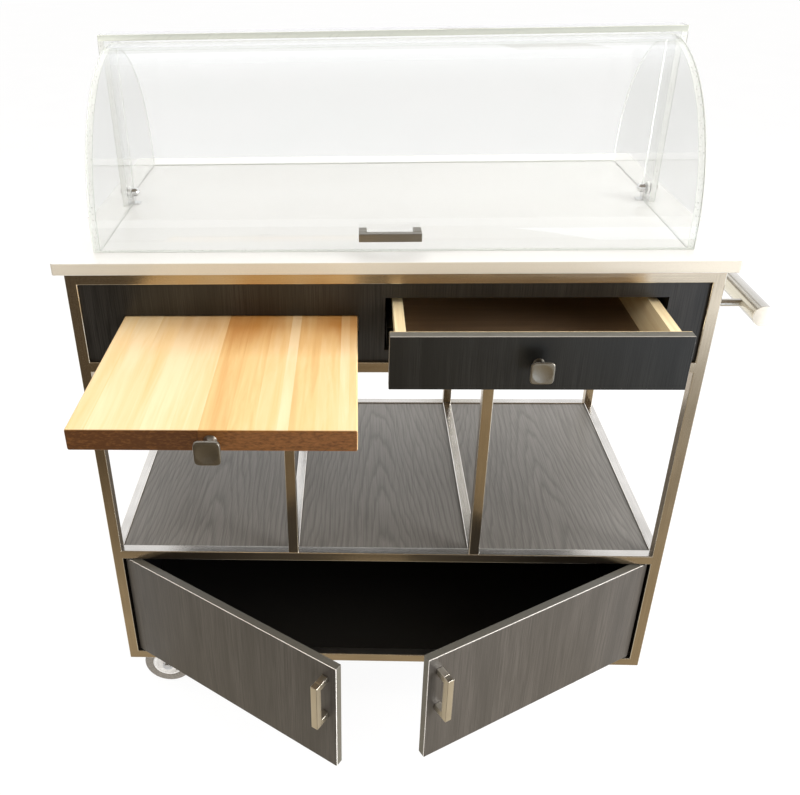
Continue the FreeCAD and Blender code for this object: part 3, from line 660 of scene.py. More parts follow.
board_maple = maple_block("board_maple")
print("board finish made")


# %% Drawer wood
def plain_maple(name, stretch, dark, pale):
    """One grain noise stretched along the board."""
    finish, tree, shader = new_finish(name)
    grain = noise(tree, space(tree, "Object", stretch), detail=5.0, roughness=0.6, distortion=0.5)
    dress(tree, shader, two_tones(tree, grain, dark, pale), grain, (0.42, 0.55), 0.06 * MM)
    return finish


side_maple = plain_maple("side_maple", (140.0, 5.0, 60.0), MAPLE, MAPLE_PALE)
back_maple = plain_maple("back_maple", (5.0, 140.0, 60.0), MAPLE, MAPLE_PALE)
# The drawer bottom is a much darker copy of the maple: painted shade inside the drawer.
bottom_ply = plain_maple("bottom_ply", (5.0, 120.0, 60.0), (0.17, 0.108, 0.062), (0.24, 0.16, 0.095))
print("drawer finishes made")

# %% [markdown]
# ## Stone and clear sheet
# The counter is white quartz: almost plain, with a faint speckle and a polish. The cover is clear
# cast sheet 10 mm thick, so it is a real solid that bends light, with a shader that lets light
# through at the sheet's own index. Its flat ends are painted a little greyer, as painted shade for the
# darker room that they mirror. Where the sheet was cut it is misty, with a painted glow for the light
# that it gathers, and painted shade on its arrises and along its foot on the counter.

# %% Stone finish
STONE_SPECK, STONE_WHITE = (0.59, 0.58, 0.545), (0.715, 0.71, 0.685)
STONE_CLOUD = (0.70, 0.69, 0.65)
SAWN_STONE = (0.84, 0.78, 0.68)


def quartz(name):
    """White stone: fine specks and slow clouds of a warmer white, with creamier sides."""
    finish, tree, shader = new_finish(name, {"Coat Weight": 0.3, "Coat Roughness": 0.05})
    specks = noise(tree, space(tree, "Object", (900.0, 900.0, 900.0)), detail=2.0)
    clouds = noise(tree, space(tree, "Object", (6.0, 6.0, 6.0)), detail=3.0)
    colour = ramp(tree, specks, (0.28, STONE_SPECK), (0.42, STONE_WHITE))
    colour = mixed(tree, spread(tree, clouds, 0.0, 0.35), colour, STONE_CLOUD)
    colour = mixed(tree, looks_up(tree), tinted(tree, colour, SAWN_STONE), colour)
    dress(tree, shader, colour, clouds, (0.1, 0.2), 0.02 * MM)
    return finish


white_quartz = quartz("white_quartz")
print("stone finish made")

# %% Clear finishes
ACRYLIC_IOR = 1.49
ACRYLIC_MIRROR = 0.35
EDGE_MIST = 0.35
PAINTED_EDGE_GLOW = (1.0, 1.0, 0.96, 1.0)
ARRIS_PAINTED_SHADE = (0.36, 0.38, 0.33)


def clear_sheet(name, dull, clear):
    """Clear acrylic: full transmission at its own index, with the faintest clouding."""
    finish, tree, shader = new_finish(name, {
        "Roughness": 0.0, "Transmission Weight": 1.0, "IOR": ACRYLIC_IOR,
        "Specular IOR Level": ACRYLIC_MIRROR})
    clouds = noise(tree, space(tree, "Object", (7.0, 7.0, 7.0)), detail=1.0)
    tree.links.new(two_tones(tree, clouds, dull, clear), shader.inputs["Base Color"])
    return finish


def cut_edge(name, dark, pale, glow):
    """The scraped edge of clear sheet: a little misty, with a painted glow for the light it
    gathers and painted shade on its arrises.
    """
    finish, tree, shader = new_finish(name, {
        "Transmission Weight": EDGE_MIST, "Emission Strength": glow, "Emission Color": PAINTED_EDGE_GLOW})
    scrapes = noise(tree, space(tree, "UV", (300.0, 300.0, 1.0)), detail=3.0)
    tone = two_tones(tree, scrapes, dark, pale)
    colour = mixed(tree, carried(tree, "arris"), tone, ARRIS_PAINTED_SHADE)
    dress(tree, shader, colour, scrapes, (0.2, 0.4), SCRATCH_DEPTH)
    return finish


clear_acrylic = clear_sheet("clear_acrylic", (0.985, 0.992, 0.988), (0.995, 0.998, 0.996))
# The flat ends take a greyer copy of the clear sheet: painted shade for the darker room that they mirror.
clear_end = clear_sheet("clear_end", (0.86, 0.865, 0.855), (0.88, 0.885, 0.875))
# Every cut edge but the plain foot carries a painted glow for the light that the sheet gathers, and its
# arrises are painted grey as painted shade.
acrylic_rim = cut_edge("acrylic_rim", (0.70, 0.71, 0.67), (0.80, 0.805, 0.78), 0.10)
acrylic_end = cut_edge("acrylic_end", (0.58, 0.60, 0.50), (0.70, 0.715, 0.62), 0.20)
# The two foot finishes are darker and barely glow: painted contact shade where the sheets stand on the
# counter.
front_foot = cut_edge("front_foot", (0.50, 0.51, 0.46), (0.60, 0.61, 0.56), 0.08)
acrylic_foot = cut_edge("acrylic_foot", (0.40, 0.41, 0.37), (0.52, 0.53, 0.48), 0.0)
print("clear finishes made")

# %% [markdown]
# ## Moulded and sprayed surfaces
# The caps of the push bar, the black lining, the wheels and the small nylon pieces have no grain.
# Each gets one quiet noise that changes its tone, its gloss and its relief together.

# %% Speckled finishes
def speckled(name, dark, pale, grain, gloss, depth):
    """A moulded or sprayed surface: one noise for tone, gloss and relief."""
    finish, tree, shader = new_finish(name)
    texture = noise(tree, space(tree, "Object", (grain, grain, grain)), detail=4.0)
    dress(tree, shader, two_tones(tree, texture, dark, pale), texture, gloss, depth)
    return finish


NYLON_GRAIN, NYLON_GLOSS, NYLON_DEPTH = 260.0, (0.3, 0.45), 0.05 * MM
cap_plate = speckled(
    "cap_plate", (0.62, 0.59, 0.53), (0.70, 0.67, 0.61), 60.0, (0.3, 0.45), 0.03 * MM)
black_lining = speckled(
    "black_lining", (0.008, 0.0077, 0.007), (0.018, 0.017, 0.015), 500.0, (0.5, 0.7), 0.08 * MM)
tyre_rubber = speckled(
    "tyre_rubber", (0.20, 0.18, 0.155), (0.30, 0.275, 0.24), 350.0, (0.5, 0.75), 0.1 * MM)
hub_plastic = speckled(
    "hub_plastic", (0.82, 0.81, 0.79), (0.92, 0.91, 0.89), 220.0, (0.35, 0.5), 0.06 * MM)
dark_nylon = speckled(
    "dark_nylon", (0.014, 0.014, 0.013), (0.030, 0.029, 0.027), NYLON_GRAIN, NYLON_GLOSS, NYLON_DEPTH)
white_nylon = speckled(
    "white_nylon", (0.80, 0.80, 0.78), (0.88, 0.88, 0.86), NYLON_GRAIN, NYLON_GLOSS, NYLON_DEPTH)
print("speckled finishes made")

# %% [markdown]
# ## Hand the finishes to the nodes that stay
# A piece whose solid already looks right keeps its mesh and only gets a finish, by putting the
# material into the object's slot.

# %% Finish the kept nodes
CORNERS = ("front_left", "front_right", "rear_left", "rear_right")
kept = {
    upright_laminate: ["fascia", "apron_back", "apron_sides", "apron_floor", "apron_dividers"],
    cabinet_laminate: ["cabinet_back", "cabinet_sides"],
    black_lining: ["cabinet_floor"],
    side_maple: ["drawer_sides", "board_runners"],
    back_maple: ["drawer_back"],
    bottom_ply: ["drawer_bottom"],
    slide_zinc: ["slide_outers", "slide_middles", "slide_inners"],
    bright_plate: ["pivot_studs", "pivot_nuts", "pivot_brackets", "left_door_pins", "right_door_pins"],
    white_nylon: ["pivot_spacers"],
    dark_nylon: ["pivot_washers"],
    zinc_plate: ["caster_plates", "caster_bolts"] + [corner + "_fork" for corner in CORNERS],
}
for finish, names in kept.items():
    for name in names:
        frame["nodes"][name].data.materials.clear()
        frame["nodes"][name].data.materials.append(finish)
print("nodes that keep their mesh:", sum(len(names) for names in kept.values()))

# %% [markdown]
# ## The tube frame
# Four corner posts, four divider posts and four rings of rails are welded from one size of square
# tube. Each tube is an eased bar carried along its own length, so that the brushing follows it. The
# welds are ground flush, so a rail runs on into its post until both faces are one plane. Every
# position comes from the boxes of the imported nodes.

# %% Posts and rails
TUBE_EASE = 1.6 * MM
WELD_REACH = 2 * TUBE_EASE
post_low, post_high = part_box("corner_posts")
rail_low, rail_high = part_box("bottom_rails")
tube = rail_high.z - rail_low.z
left, front = post_low.x, post_low.y
right, back = post_high.x, post_high.y


def post(x, y, z0, z1):
    """A post with its lower corner at (x, y)."""
    return bar((x, y, z0), (x + tube, y + tube, z1), TUBE_EASE, 2)


def long_rail(y, z):
    """A rail along X that runs on into the corner posts at both ends."""
    low = (left + tube - WELD_REACH, y, z)
    high = (right - tube + WELD_REACH, y + tube, z + tube)
    return bar(low, high, TUBE_EASE, 0)


def short_rail(x, z):
    """A rail along Y that runs on into the front and back at both ends."""
    low = (x, front + tube - WELD_REACH, z)
    high = (x + tube, back - tube + WELD_REACH, z + tube)
    return bar(low, high, TUBE_EASE, 1)


def put_tubes(node_name, tubes):
    """One node's tubes as one brushed piece with a painted highlight on the arrises."""
    surface = joined(tubes)
    put(node_name + "_brushed", surface, steel_tube, "cart", "stainless", [node_name],
        arris=arrises(surface))


ys = (front, back - tube)
corner_xs = (left, right - tube)
put_tubes("corner_posts", [post(x, y, post_low.z, post_high.z) for x in corner_xs for y in ys])

divider_low, divider_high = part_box("divider_posts")
divider_xs = (divider_low.x, divider_high.x - tube)
put_tubes("divider_posts",
          [post(x, y, divider_low.z, divider_high.z) for x in divider_xs for y in ys])

for level in ("bottom_rails", "shelf_rails", "band_rails", "top_rails"):
    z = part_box(level)[0].z
    short_xs = corner_xs + divider_xs if level == "shelf_rails" else corner_xs
    put_tubes(level, [long_rail(y, z) for y in ys] + [short_rail(x, z) for x in short_xs])

# %% [markdown]
# ## Shelf panels
# One laminate panel lies in each bay. The grain attribute holds the place on the panel measured from
# its own middle, and a step for each bay, so that each bay shows its own arches.

# %% Three shelf panels
PANEL_EASE = 0.6 * MM
BAY_STEP = 0.4


def panel(low, high, thin_axis, ease):
    """A sheet with eased edges: its outline is carried through its thickness."""
    return bar(low, high, ease, thin_axis)


panel_low, panel_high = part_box("shelf_panels")
bay_starts = [panel_low.x] + [x + tube for x in divider_xs]
bay_stops = [*divider_xs, panel_high.x]
shelf_sheets = []
shelf_grain = []
for number, (x0, x1) in enumerate(zip(bay_starts, bay_stops)):
    sheet = panel((x0, panel_low.y, panel_low.z), (x1, panel_high.y, panel_high.z), 2, PANEL_EASE)
    middle = np.array([(x0 + x1) / 2, 0.0, -BAY_STEP * number])
    shelf_sheets.append(sheet)
    shelf_grain.append(sheet[0] - middle)
put("shelf_panels_arched", joined(shelf_sheets), shelf_laminate, "cart", "shelf_laminate",
    ["shelf_panels"], grain=np.concatenate(shelf_grain))

# %% [markdown]
# ## The stone counter
# A slab with a soft polished arris and small corner rounds.

# %% Counter
STONE_EASE = 1.5 * MM
STONE_CORNER = 4.0 * MM
counter_low, counter_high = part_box("counter_top")
put("counter_stone", bar(counter_low, counter_high, STONE_EASE, 2, STONE_CORNER), white_quartz,
    "cart", "white_quartz", ["counter_top"])

# %% [markdown]
# ## The clear cover
# The cover is a rolled sheet with two flat ends glued inside it. It turns on studs near the counter
# and goes up inside the fixed rear shell. The rolled sheet is an eased bar bent about the pivot: the
# place along the bar becomes an angle. The flat ends are an outline of arcs carried through the
# sheet's thickness, with the outline drawn in along its normals at both faces. The long rims are
# polished and look white with a painted glow, and the sawn ends keep the grey-green of the sheet seen
# through its length, with a painted glow of their own. Along the foot on the counter the edges are
# painted darker, as painted contact shade.
# Clear sheet throws hardly any shadow, so the pieces let the lamps' light through.

# %% Rolled sheets
SHEET_EASE = 0.9 * MM
GLUE_GAP = 0.15 * MM
ROLL_ROWS = 72
BROAD_SHARE = 0.995
RIM_FACE, END_FACE, FOOT_FACE = 1, 2, 3
pivot = np.array(joints["cover_hinge"]["pos_m"])
pivot[0] = 0.0


def face_means(faces, values):
    """The mean over each face's corners of a value that every point has."""
    sizes = np.array([len(face) for face in faces])
    starts = np.cumsum(sizes) - sizes
    return np.add.reduceat(values[np.concatenate(faces)], starts) / sizes


def rolled_sheet(half_width, inner, outer, start, stop):
    """A sheet bent about the pivot: angle 0 is level to the front, a quarter turn is straight up.

    With the surface come its faces' marks, broad face, rim or sawn end, and its points' arris share.
    """
    radius = (inner + outer) / 2
    length = radius * (stop - start)
    local = eased_block(2 * half_width, outer - inner, length, SHEET_EASE, rows=ROLL_ROWS)
    angle = start + local[..., 2] / radius
    reach = radius + local[..., 1]
    y = pivot[1] - reach * np.cos(angle)
    z = pivot[2] + reach * np.sin(angle)
    surface = skin(np.stack([local[..., 0], y, z], -1))
    off_middle = np.abs(local[..., 1]).ravel() / (outer - inner) * 2
    from_end = np.minimum(local[..., 2], length - local[..., 2]).ravel()
    is_edge = face_means(surface[1], off_middle) < BROAD_SHARE
    is_end = face_means(surface[1], from_end) < SHEET_EASE
    return surface, np.where(is_edge, np.where(is_end, END_FACE, RIM_FACE), 0), arrises(surface)


print("the cover turns about y", round(pivot[1], 4), "and z", round(pivot[2], 4))


# %% Flat ends
def arc(radius, start, stop, steps):
    """Points on a circle about the pivot, as (y, z), from one angle to another."""
    angle = np.linspace(start, stop, steps)
    return np.stack([-radius * np.cos(angle), radius * np.sin(angle)], 1)


def flat_end(outline, x0, x1):
    """A plate: an outline of (y, z) points from the pivot, carried along X with eased faces."""
    ahead = np.roll(outline, -1, axis=0) - np.roll(outline, 1, axis=0)
    normal = np.stack([ahead[:, 1], -ahead[:, 0]], 1) / np.linalg.norm(ahead, axis=1, keepdims=True)
    draw, rise = quarter_round(SHEET_EASE, CORNER_STEPS)
    along = np.concatenate([x0 + rise, x1 - rise[::-1]])
    inset = np.concatenate([draw, draw[::-1]])
    shape = outline[None] - inset[:, None, None] * normal[None]
    across = np.broadcast_to(along[:, None, None], shape.shape[:2] + (1,))
    surface = skin(np.concatenate([across, shape + pivot[1:]], axis=2))
    marks = np.array([RIM_FACE if len(face) == 4 else 0 for face in surface[1]])
    return surface, marks, np.repeat(np.tile(ARRIS_SHARE, 2), len(outline))


def both_ends(outline, inner_x, outer_x):
    """The same flat end on the right and on the left, with their faces' marks and arrises."""
    ends = [flat_end(outline, inner_x, outer_x), flat_end(outline, -outer_x, -inner_x)]
    surfaces, marks, arris = zip(*ends)
    return joined(surfaces), np.concatenate(marks), np.concatenate(arris)


print("an end is eased by", round(SHEET_EASE / MM, 1), "mm round both faces")

# %% Clear pieces
FOOT_HEIGHT = 3.0 * MM


def hide_from(thing, *rays):
    """Keep a piece, lamp or card out of sight of some kinds of ray."""
    for ray in rays:
        setattr(thing, "visible_" + ray, False)


def put_clear(name, sheet, finish, body, node_name, foot_shade_finish=acrylic_foot):
    """A clear sheet with polished rims and sawn ends, and with a foot painted darker where it
    stands on the counter, as painted contact shade.
    """
    surface, marks, arris = sheet
    is_low = face_means(surface[1], surface[0][:, 2]) < counter_high.z + FOOT_HEIGHT
    marks = np.where((marks > 0) & is_low, FOOT_FACE, marks)
    piece = put(name, surface, finish, body, "clear_acrylic", [node_name],
                (acrylic_rim, acrylic_end, foot_shade_finish), marks, arris=arris)
    hide_from(piece, "shadow")


print("a foot ends at a height of", round(counter_high.z + FOOT_HEIGHT, 4), "m")

# %% Front cover
ARC_STEPS = 64
HEEL_STEPS = 10
cover_low, cover_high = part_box("front_cover")
end_low, end_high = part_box("front_cover_ends")
cover_outer = pivot[1] - cover_low.y
cover_inner = end_high.z - pivot[2]
sheet_thickness = cover_outer - cover_inner
foot = end_low.z - pivot[2]
tail = end_high.y - pivot[1]
middle_radius = (cover_inner + cover_outer) / 2
cover_start = math.asin(foot / middle_radius)
cover_stop = math.pi - math.acos(tail / middle_radius)
cover_roll = rolled_sheet(cover_high.x, cover_inner, cover_outer, cover_start, cover_stop)
put_clear("front_cover_rolled", cover_roll, clear_acrylic, "dome_cover", "front_cover",
          foot_shade_finish=front_foot)

reach = cover_inner - GLUE_GAP
heel_start = math.acos(-tail / -foot)
rim = arc(reach, math.asin(foot / reach), math.pi - math.acos(tail / reach), ARC_STEPS)
heel = arc(-foot, -heel_start, -math.pi / 2, HEEL_STEPS)
cover_outline = np.concatenate([rim, heel])
put_clear("front_cover_ends_flat",
          both_ends(cover_outline, cover_high.x - sheet_thickness, cover_high.x),
          clear_end, "dome_cover", "front_cover_ends")

# %% Rear shell
shell_low, shell_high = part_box("rear_shell")
shell_outer = shell_high.z - pivot[2]
shell_inner = shell_outer - sheet_thickness
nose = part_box("rear_shell_ends")[0].y - pivot[1]
seat = shell_low.z - pivot[2]
shell_middle = (shell_inner + shell_outer) / 2
shell_start = math.acos(-nose / shell_middle)
shell_stop = math.pi - math.asin(seat / shell_middle)
shell_roll = rolled_sheet(shell_high.x, shell_inner, shell_outer, shell_start, shell_stop)
put_clear("rear_shell_rolled", shell_roll, clear_acrylic, "cart", "rear_shell")

reach = shell_inner - GLUE_GAP
rim = arc(reach, math.acos(-nose / reach), math.pi - math.asin(seat / reach), ARC_STEPS)
shell_outline = np.concatenate([rim, [[nose, seat]]])
put_clear("rear_shell_ends_flat",
          both_ends(shell_outline, shell_high.x - sheet_thickness, shell_high.x),
          clear_end, "cart", "rear_shell_ends")

# %% [markdown]
# ## Cutting board, drawer front and doors
# All four are slabs with eased edges. The doors were packed ajar, so each is worked out shut and then
# swung about its hinge by the angle that the hinge's own range gives. The tape attribute is 1 round
# the edge and 0 on both faces, which is where the grey edge tape goes.

# %% Cutting board
BOARD_EASE = 3.0 * MM
put("cutting_board_block", panel(board_low, board_high, 2, BOARD_EASE), board_maple, "board",
    "maple_block", ["cutting_board"])

# %% Drawer front
FRONT_EASE = 1.0 * MM


def taped_slab(low, high):
    """A slab facing -Y with its attributes.

    They are the grain's place (x, z, y), the tape and the depth behind the face.
    """
    slab = panel(low, high, 1, FRONT_EASE)
    behind = slab[0][:, 1] - low[1]
    from_face = np.minimum(behind, high[1] - slab[0][:, 1])
    tape = np.clip(from_face / FRONT_EASE, 0.0, 1.0)
    return slab, {"grain": slab[0][:, [0, 2, 1]], "tape": tape, "behind": behind}


slab, slab_attributes = taped_slab(front_low, front_high)
put("drawer_front_taped", slab, drawer_laminate, "drawer", "dark_laminate", ["drawer_front"],
    **slab_attributes)

# %% Doors
SHUT, AJAR = 1, -1
SIDES = ("left", "right")


def door_swing(side, way):
    """The turn about a door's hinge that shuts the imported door, or that sets a shut one ajar."""
    hinge = joints[side + "_door_hinge"]
    return swung(np.array(hinge["pos_m"]), way * hinge["range_deg"][0] * hinge["axis"][2])


def shut_box(node_name, side):
    """The lowest and highest corner of a node once its door is swung shut."""
    mesh = frame["nodes"][node_name].data
    points = np.empty(len(mesh.vertices) * 3)
    mesh.vertices.foreach_get("co", points)
    shut = door_swing(side, SHUT)(points.reshape(-1, 3))
    return shut.min(axis=0), shut.max(axis=0)


for side in SIDES:
    slab, slab_attributes = taped_slab(*shut_box(side + "_door", side))
    put(side + "_door_taped", moved(slab, door_swing(side, AJAR)), door_laminate, side + "_leaf",
        "dark_laminate", [side + "_door"], **slab_attributes)

# %% [markdown]
# ## Bar pulls and knobs
# The pulls are square bar on two square legs. The knobs are cast: a rounded square with a shallow
# dish in its face, on a stem with a waist. The square is one outline drawn in at both edges and then
# led over into the circle of the dish, row by row. The stem is turned.

# %% Bar pulls
PULL_EASE = 1.0 * MM


def bar_pull(low, high, long_axis):
    """A pull that stands out towards -Y: a bar at the front and a leg at each end."""
    low = np.array(low)
    high = np.array(high)
    short_axis = 2 - long_axis
    thick = high[short_axis] - low[short_axis]
    bar_back = high.copy()
    bar_back[1] = low[1] + thick
    parts = [bar(low, bar_back, PULL_EASE, long_axis)]
    for start in (low[long_axis], high[long_axis] - thick):
        leg_low = low.copy()
        leg_high = high.copy()
        leg_low[1] = low[1] + thick
        leg_low[long_axis] = start
        leg_high[long_axis] = start + thick
        parts.append(bar(leg_low, leg_high, PULL_EASE, 1))
    return joined(parts)


for side in SIDES:
    pull = bar_pull(*shut_box(side + "_door_pull", side), 2)
    put(side + "_door_pull_satin", moved(pull, door_swing(side, AJAR)), door_nickel, side + "_leaf",
        "satin_nickel", [side + "_door_pull"])
put("cover_pull_satin", bar_pull(*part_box("cover_pull"), 0), satin_nickel, "dome_cover",
    "satin_nickel", ["cover_pull"])

# %% Knob plate
KNOB_PLATE = 6.0 * MM
KNOB_EDGE = 1.8 * MM
KNOB_POWER = 5.6
KNOB_DISH_RADIUS = 14.5 * MM
KNOB_DISH_DEPTH = 1.2 * MM
KNOB_STEPS = 96
KNOB_EDGE_STEPS = 5
KNOB_FACE_ROWS = 5
KNOB_BOWL_ROWS = 12
KNOB_BOWL_MIDDLE = 0.02


def knob_plate(middle, half, front_y):
    """A dished square facing -Y, skinned row by row from its back to the middle of its face.

    The outline is a superellipse, half / (|cos|^n + |sin|^n)^(1/n). It is drawn in by a quarter
    round at both edges, led over into a circle across the face, and sinks by depth * (1 - share^2).
    """
    angle = np.linspace(0, 2 * math.pi, KNOB_STEPS, endpoint=False)
    powers = np.abs(np.cos(angle)) ** KNOB_POWER + np.abs(np.sin(angle)) ** KNOB_POWER
    square = half / powers ** (1 / KNOB_POWER)
    draw, rise = quarter_round(KNOB_EDGE, KNOB_EDGE_STEPS)
    edge = square - np.concatenate([draw, draw[::-1]])[:, None]
    over = np.linspace(0, 1, KNOB_FACE_ROWS)[1:, None]
    face = (1 - over) * edge[-1] + over * KNOB_DISH_RADIUS
    share = np.linspace(1, KNOB_BOWL_MIDDLE, KNOB_BOWL_ROWS)[1:]
    bowl = KNOB_DISH_RADIUS * np.repeat(share[:, None], KNOB_STEPS, axis=1)
    radius = np.concatenate([edge, face, bowl])
    dish = KNOB_PLATE - KNOB_DISH_DEPTH * (1 - share ** 2)
    depth = np.concatenate([rise, KNOB_PLATE - rise[::-1], np.full(len(over), KNOB_PLATE), dish])
    x = middle[0] + radius * np.cos(angle)
    y = np.broadcast_to(front_y + KNOB_PLATE - depth[:, None], radius.shape)
    z = middle[2] + radius * np.sin(angle)
    return skin(np.stack([x, y, z], -1))


print("a knob's dish is", round(KNOB_DISH_DEPTH / MM, 1), "mm deep")

# %% Knobs
STEM_FOOT = 9.0 * MM
STEM_NECK = 8.0 * MM
STEM_WAIST_IN = 3.0 * MM
STEM_WAIST_POWER = 0.8
STEM_ROWS = 24
STEM_STEPS = 40


def knob(low, high):
    """A dished square on a turned stem, standing out towards -Y from its foot at the higher y.

    The stem's radius goes from its foot's to its neck's, less a waist of depth * sin(pi * share)^0.8.
    """
    middle = (np.array(low) + np.array(high)) / 2
    plate = knob_plate(middle, (high[0] - low[0]) / 2, low[1])
    share = np.linspace(0, 1, STEM_ROWS)
    waist = STEM_WAIST_IN * np.sin(math.pi * share) ** STEM_WAIST_POWER
    stem_radius = STEM_FOOT + (STEM_NECK - STEM_FOOT) * share - waist
    stem_profile = np.stack([stem_radius, -share * (high[1] - low[1] - KNOB_PLATE)], 1)
    stem = turned(stem_profile, (middle[0], high[1], middle[2]), 1, steps=STEM_STEPS)
    return joined([plate, stem])


for holder in ("board", "drawer"):
    knob_node = holder + "_knob"
    put(knob_node + "_satin", knob(*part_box(knob_node)), satin_nickel, holder, "satin_nickel",
        [knob_node])

# %% [markdown]
# ## Push bar
# A round tube with a slightly domed cap welded into each end, held off the frame by two thin rods.
# All three are turned, and a small fillet of weld runs round the foot of each rod.

# %% Tube and caps
BAR_RIM = 0.8 * MM
BAR_RIM_STEPS = 4
CAP_EDGE = 2.0 * MM
CAP_SEAM = 0.3 * MM
CAP_ROWS = 12
CAP_MIDDLE = 0.02
bar_low, bar_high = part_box("push_bar")
bar_radius = (bar_high.z - bar_low.z) / 2
bar_x = bar_low.x + bar_radius
bar_z = bar_low.z + bar_radius
bar_length = bar_high.y - bar_low.y
draw, rise = quarter_round(BAR_RIM, BAR_RIM_STEPS)
near_rim = np.stack([bar_radius - draw, rise], 1)
far_rim = near_rim[::-1] * [1, -1] + [0, bar_length]
bar_profile = np.concatenate([near_rim, [[bar_radius, bar_length / 2]], far_rim])
put("push_bar_brushed", turned(bar_profile, (bar_x, bar_low.y, bar_z), 1), steel_bar, "cart",
    "stainless", ["push_bar"])

crown = np.linspace(CAP_MIDDLE, 1.0, CAP_ROWS)
cap_rise = bar_low.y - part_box("push_bar_caps")[0].y
dome = np.stack([bar_radius * crown, CAP_EDGE + (cap_rise - CAP_EDGE) * (1 - crown ** 2)], 1)
cap_profile = np.concatenate([dome, [[bar_radius, CAP_SEAM], [bar_radius - BAR_RIM, 0.0]]])
caps = [
    turned(cap_profile * [1, -1], (bar_x, bar_low.y, bar_z), 1),
    turned(cap_profile, (bar_x, bar_high.y, bar_z), 1),
]
put("push_bar_caps_domed", joined(caps), cap_plate, "cart", "cap_metal", ["push_bar_caps"])

# %% Standoffs
WELD = 1.5 * MM
WELD_STEPS = 5
ROD_STEPS = 40
rod_low, rod_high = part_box("push_bar_standoffs")
rod_radius = (rod_high.z - rod_low.z) / 2
draw, rise = quarter_round(WELD, WELD_STEPS)
weld = np.stack([rod_radius + draw, rise], 1)
reach = bar_x - rod_low.x
rod_profile = np.concatenate([weld, [[rod_radius, reach - bar_radius / 2]]])
rods = []
for y in (rod_low.y + rod_radius, rod_high.y - rod_radius):
    rods.append(turned(rod_profile, (rod_low.x, y, bar_z), 0, steps=ROD_STEPS))
put("push_bar_standoffs_brushed", joined(rods), steel_bar, "cart", "stainless",
    ["push_bar_standoffs"])

# %% [markdown]
# ## Wheels
# The hubs are moulded with a dished web, and a grey tyre is pressed round each. Both are closed
# profiles turned about the axle.

# %% Tyres
TREAD_SHOULDER = 6.0 * MM
TREAD_ROWS = 25
TYRE_STEPS = 96
TYRE_LIP = 0.6 * MM
TYRE_PLAY = 0.001
hub_low, hub_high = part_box("front_left_hub")
tyre_low, tyre_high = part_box("front_left_tyre")
HUB_SHARE = (hub_high.z - hub_low.z) / (tyre_high.z - tyre_low.z) + TYRE_PLAY


def wheel_tyre(low, high):
    """A ring with a round-shouldered tread: two quarter circles and a flat, closed by two lips."""
    middle = (np.array(low) + np.array(high)) / 2
    outer = (high.z - low.z) / 2
    half = (high.y - low.y) / 2
    inner = HUB_SHARE * outer
    turn = np.linspace(math.pi / 2, -math.pi / 2, TREAD_ROWS)
    tread_radius = outer - TREAD_SHOULDER + TREAD_SHOULDER * np.cos(turn)
    tread_y = (half - TREAD_SHOULDER) * np.sign(np.sin(turn)) + TREAD_SHOULDER * np.sin(turn)
    lips = [
        [inner + TYRE_LIP, -half], [inner, -half + TYRE_LIP],
        [inner, half - TYRE_LIP], [inner + TYRE_LIP, half],
    ]
    profile = np.concatenate([np.stack([tread_radius, tread_y], 1), lips])
    return turned(profile, middle, 1, ring=True, steps=TYRE_STEPS)


print("a hub takes up", round(HUB_SHARE, 3), "of its tyre's radius")

# %% Hubs
HUB_BORE = 4.05 * MM
HUB_BOSS = 11.0 * MM
HUB_WEB = 11.0 * MM
HUB_RIM_IN = 2.7 * MM
HUB_WALL = 5.0 * MM
BOSS_CHAMFER = 1.0 * MM
BOSS_FILLET = 2.0 * MM
WALL_FILLET = 3.0 * MM
RIM_CHAMFER = 0.8 * MM
HUB_STEPS = 72


def wheel_hub(low, high):
    """A dished hub: boss, web and rim in one closed profile, mirrored about the wheel's middle."""
    middle = (np.array(low) + np.array(high)) / 2
    radius = (high.z - low.z) / 2
    half = (high.y - low.y) / 2
    rim_y = half - HUB_RIM_IN
    wall = radius - HUB_WALL
    side = np.array([
        [HUB_BORE, half], [HUB_BOSS - BOSS_CHAMFER, half],
        [HUB_BOSS, half - BOSS_CHAMFER], [HUB_BOSS, HUB_WEB + BOSS_FILLET],
        [HUB_BOSS + BOSS_FILLET, HUB_WEB], [wall - WALL_FILLET, HUB_WEB],
        [wall, HUB_WEB + WALL_FILLET], [wall, rim_y - RIM_CHAMFER],
        [wall + RIM_CHAMFER, rim_y], [radius - RIM_CHAMFER, rim_y],
        [radius, rim_y - RIM_CHAMFER],
    ])
    profile = np.concatenate([side, side[::-1] * [1, -1]])
    return turned(profile, middle, 1, ring=True, steps=HUB_STEPS)


for corner in CORNERS:
    put(corner + "_tyre_round", wheel_tyre(*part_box(corner + "_tyre")), tyre_rubber,
        corner + "_wheel", "tyre_grey", [corner + "_tyre"])
    put(corner + "_hub_dished", wheel_hub(*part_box(corner + "_hub")), hub_plastic,
        corner + "_wheel", "hub_white", [corner + "_hub"])

# %% [markdown]
# ## Floor and lamps
# The cart stands on a plain pale floor under broad soft lights, as in a product studio. Most of the
# floor's brightness is its own glow, as on a lit paper sweep, so that shadows stay faint. The fill
# lamps light the cart without being mirrored in it. One narrow lamp does the reverse: it stands
# beside the push bar, and only gives the bar's inner side something pale to mirror.

# %% Floor
FLOOR_HALF = 14.0
FLOOR_GREY, FLOOR_GREY_PALE = (0.11, 0.11, 0.11), (0.13, 0.13, 0.13)
FLOOR_GLOW = 0.93


def flat_sheet(name, corners, paint):
    """A four-cornered sheet of the stage."""
    mesh = bpy.data.meshes.new(name)
    mesh.from_pydata(corners, [], [[0, 1, 2, 3]])
    mesh.materials.append(paint)
    sheet = bpy.data.objects.new(name, mesh)
    bpy.context.scene.collection.objects.link(sheet)
    return sheet


def level_corners(x0, x1, y0, y1, z):
    """The corners of a level sheet."""
    return [(x0, y0, z), (x1, y0, z), (x1, y1, z), (x0, y1, z)]


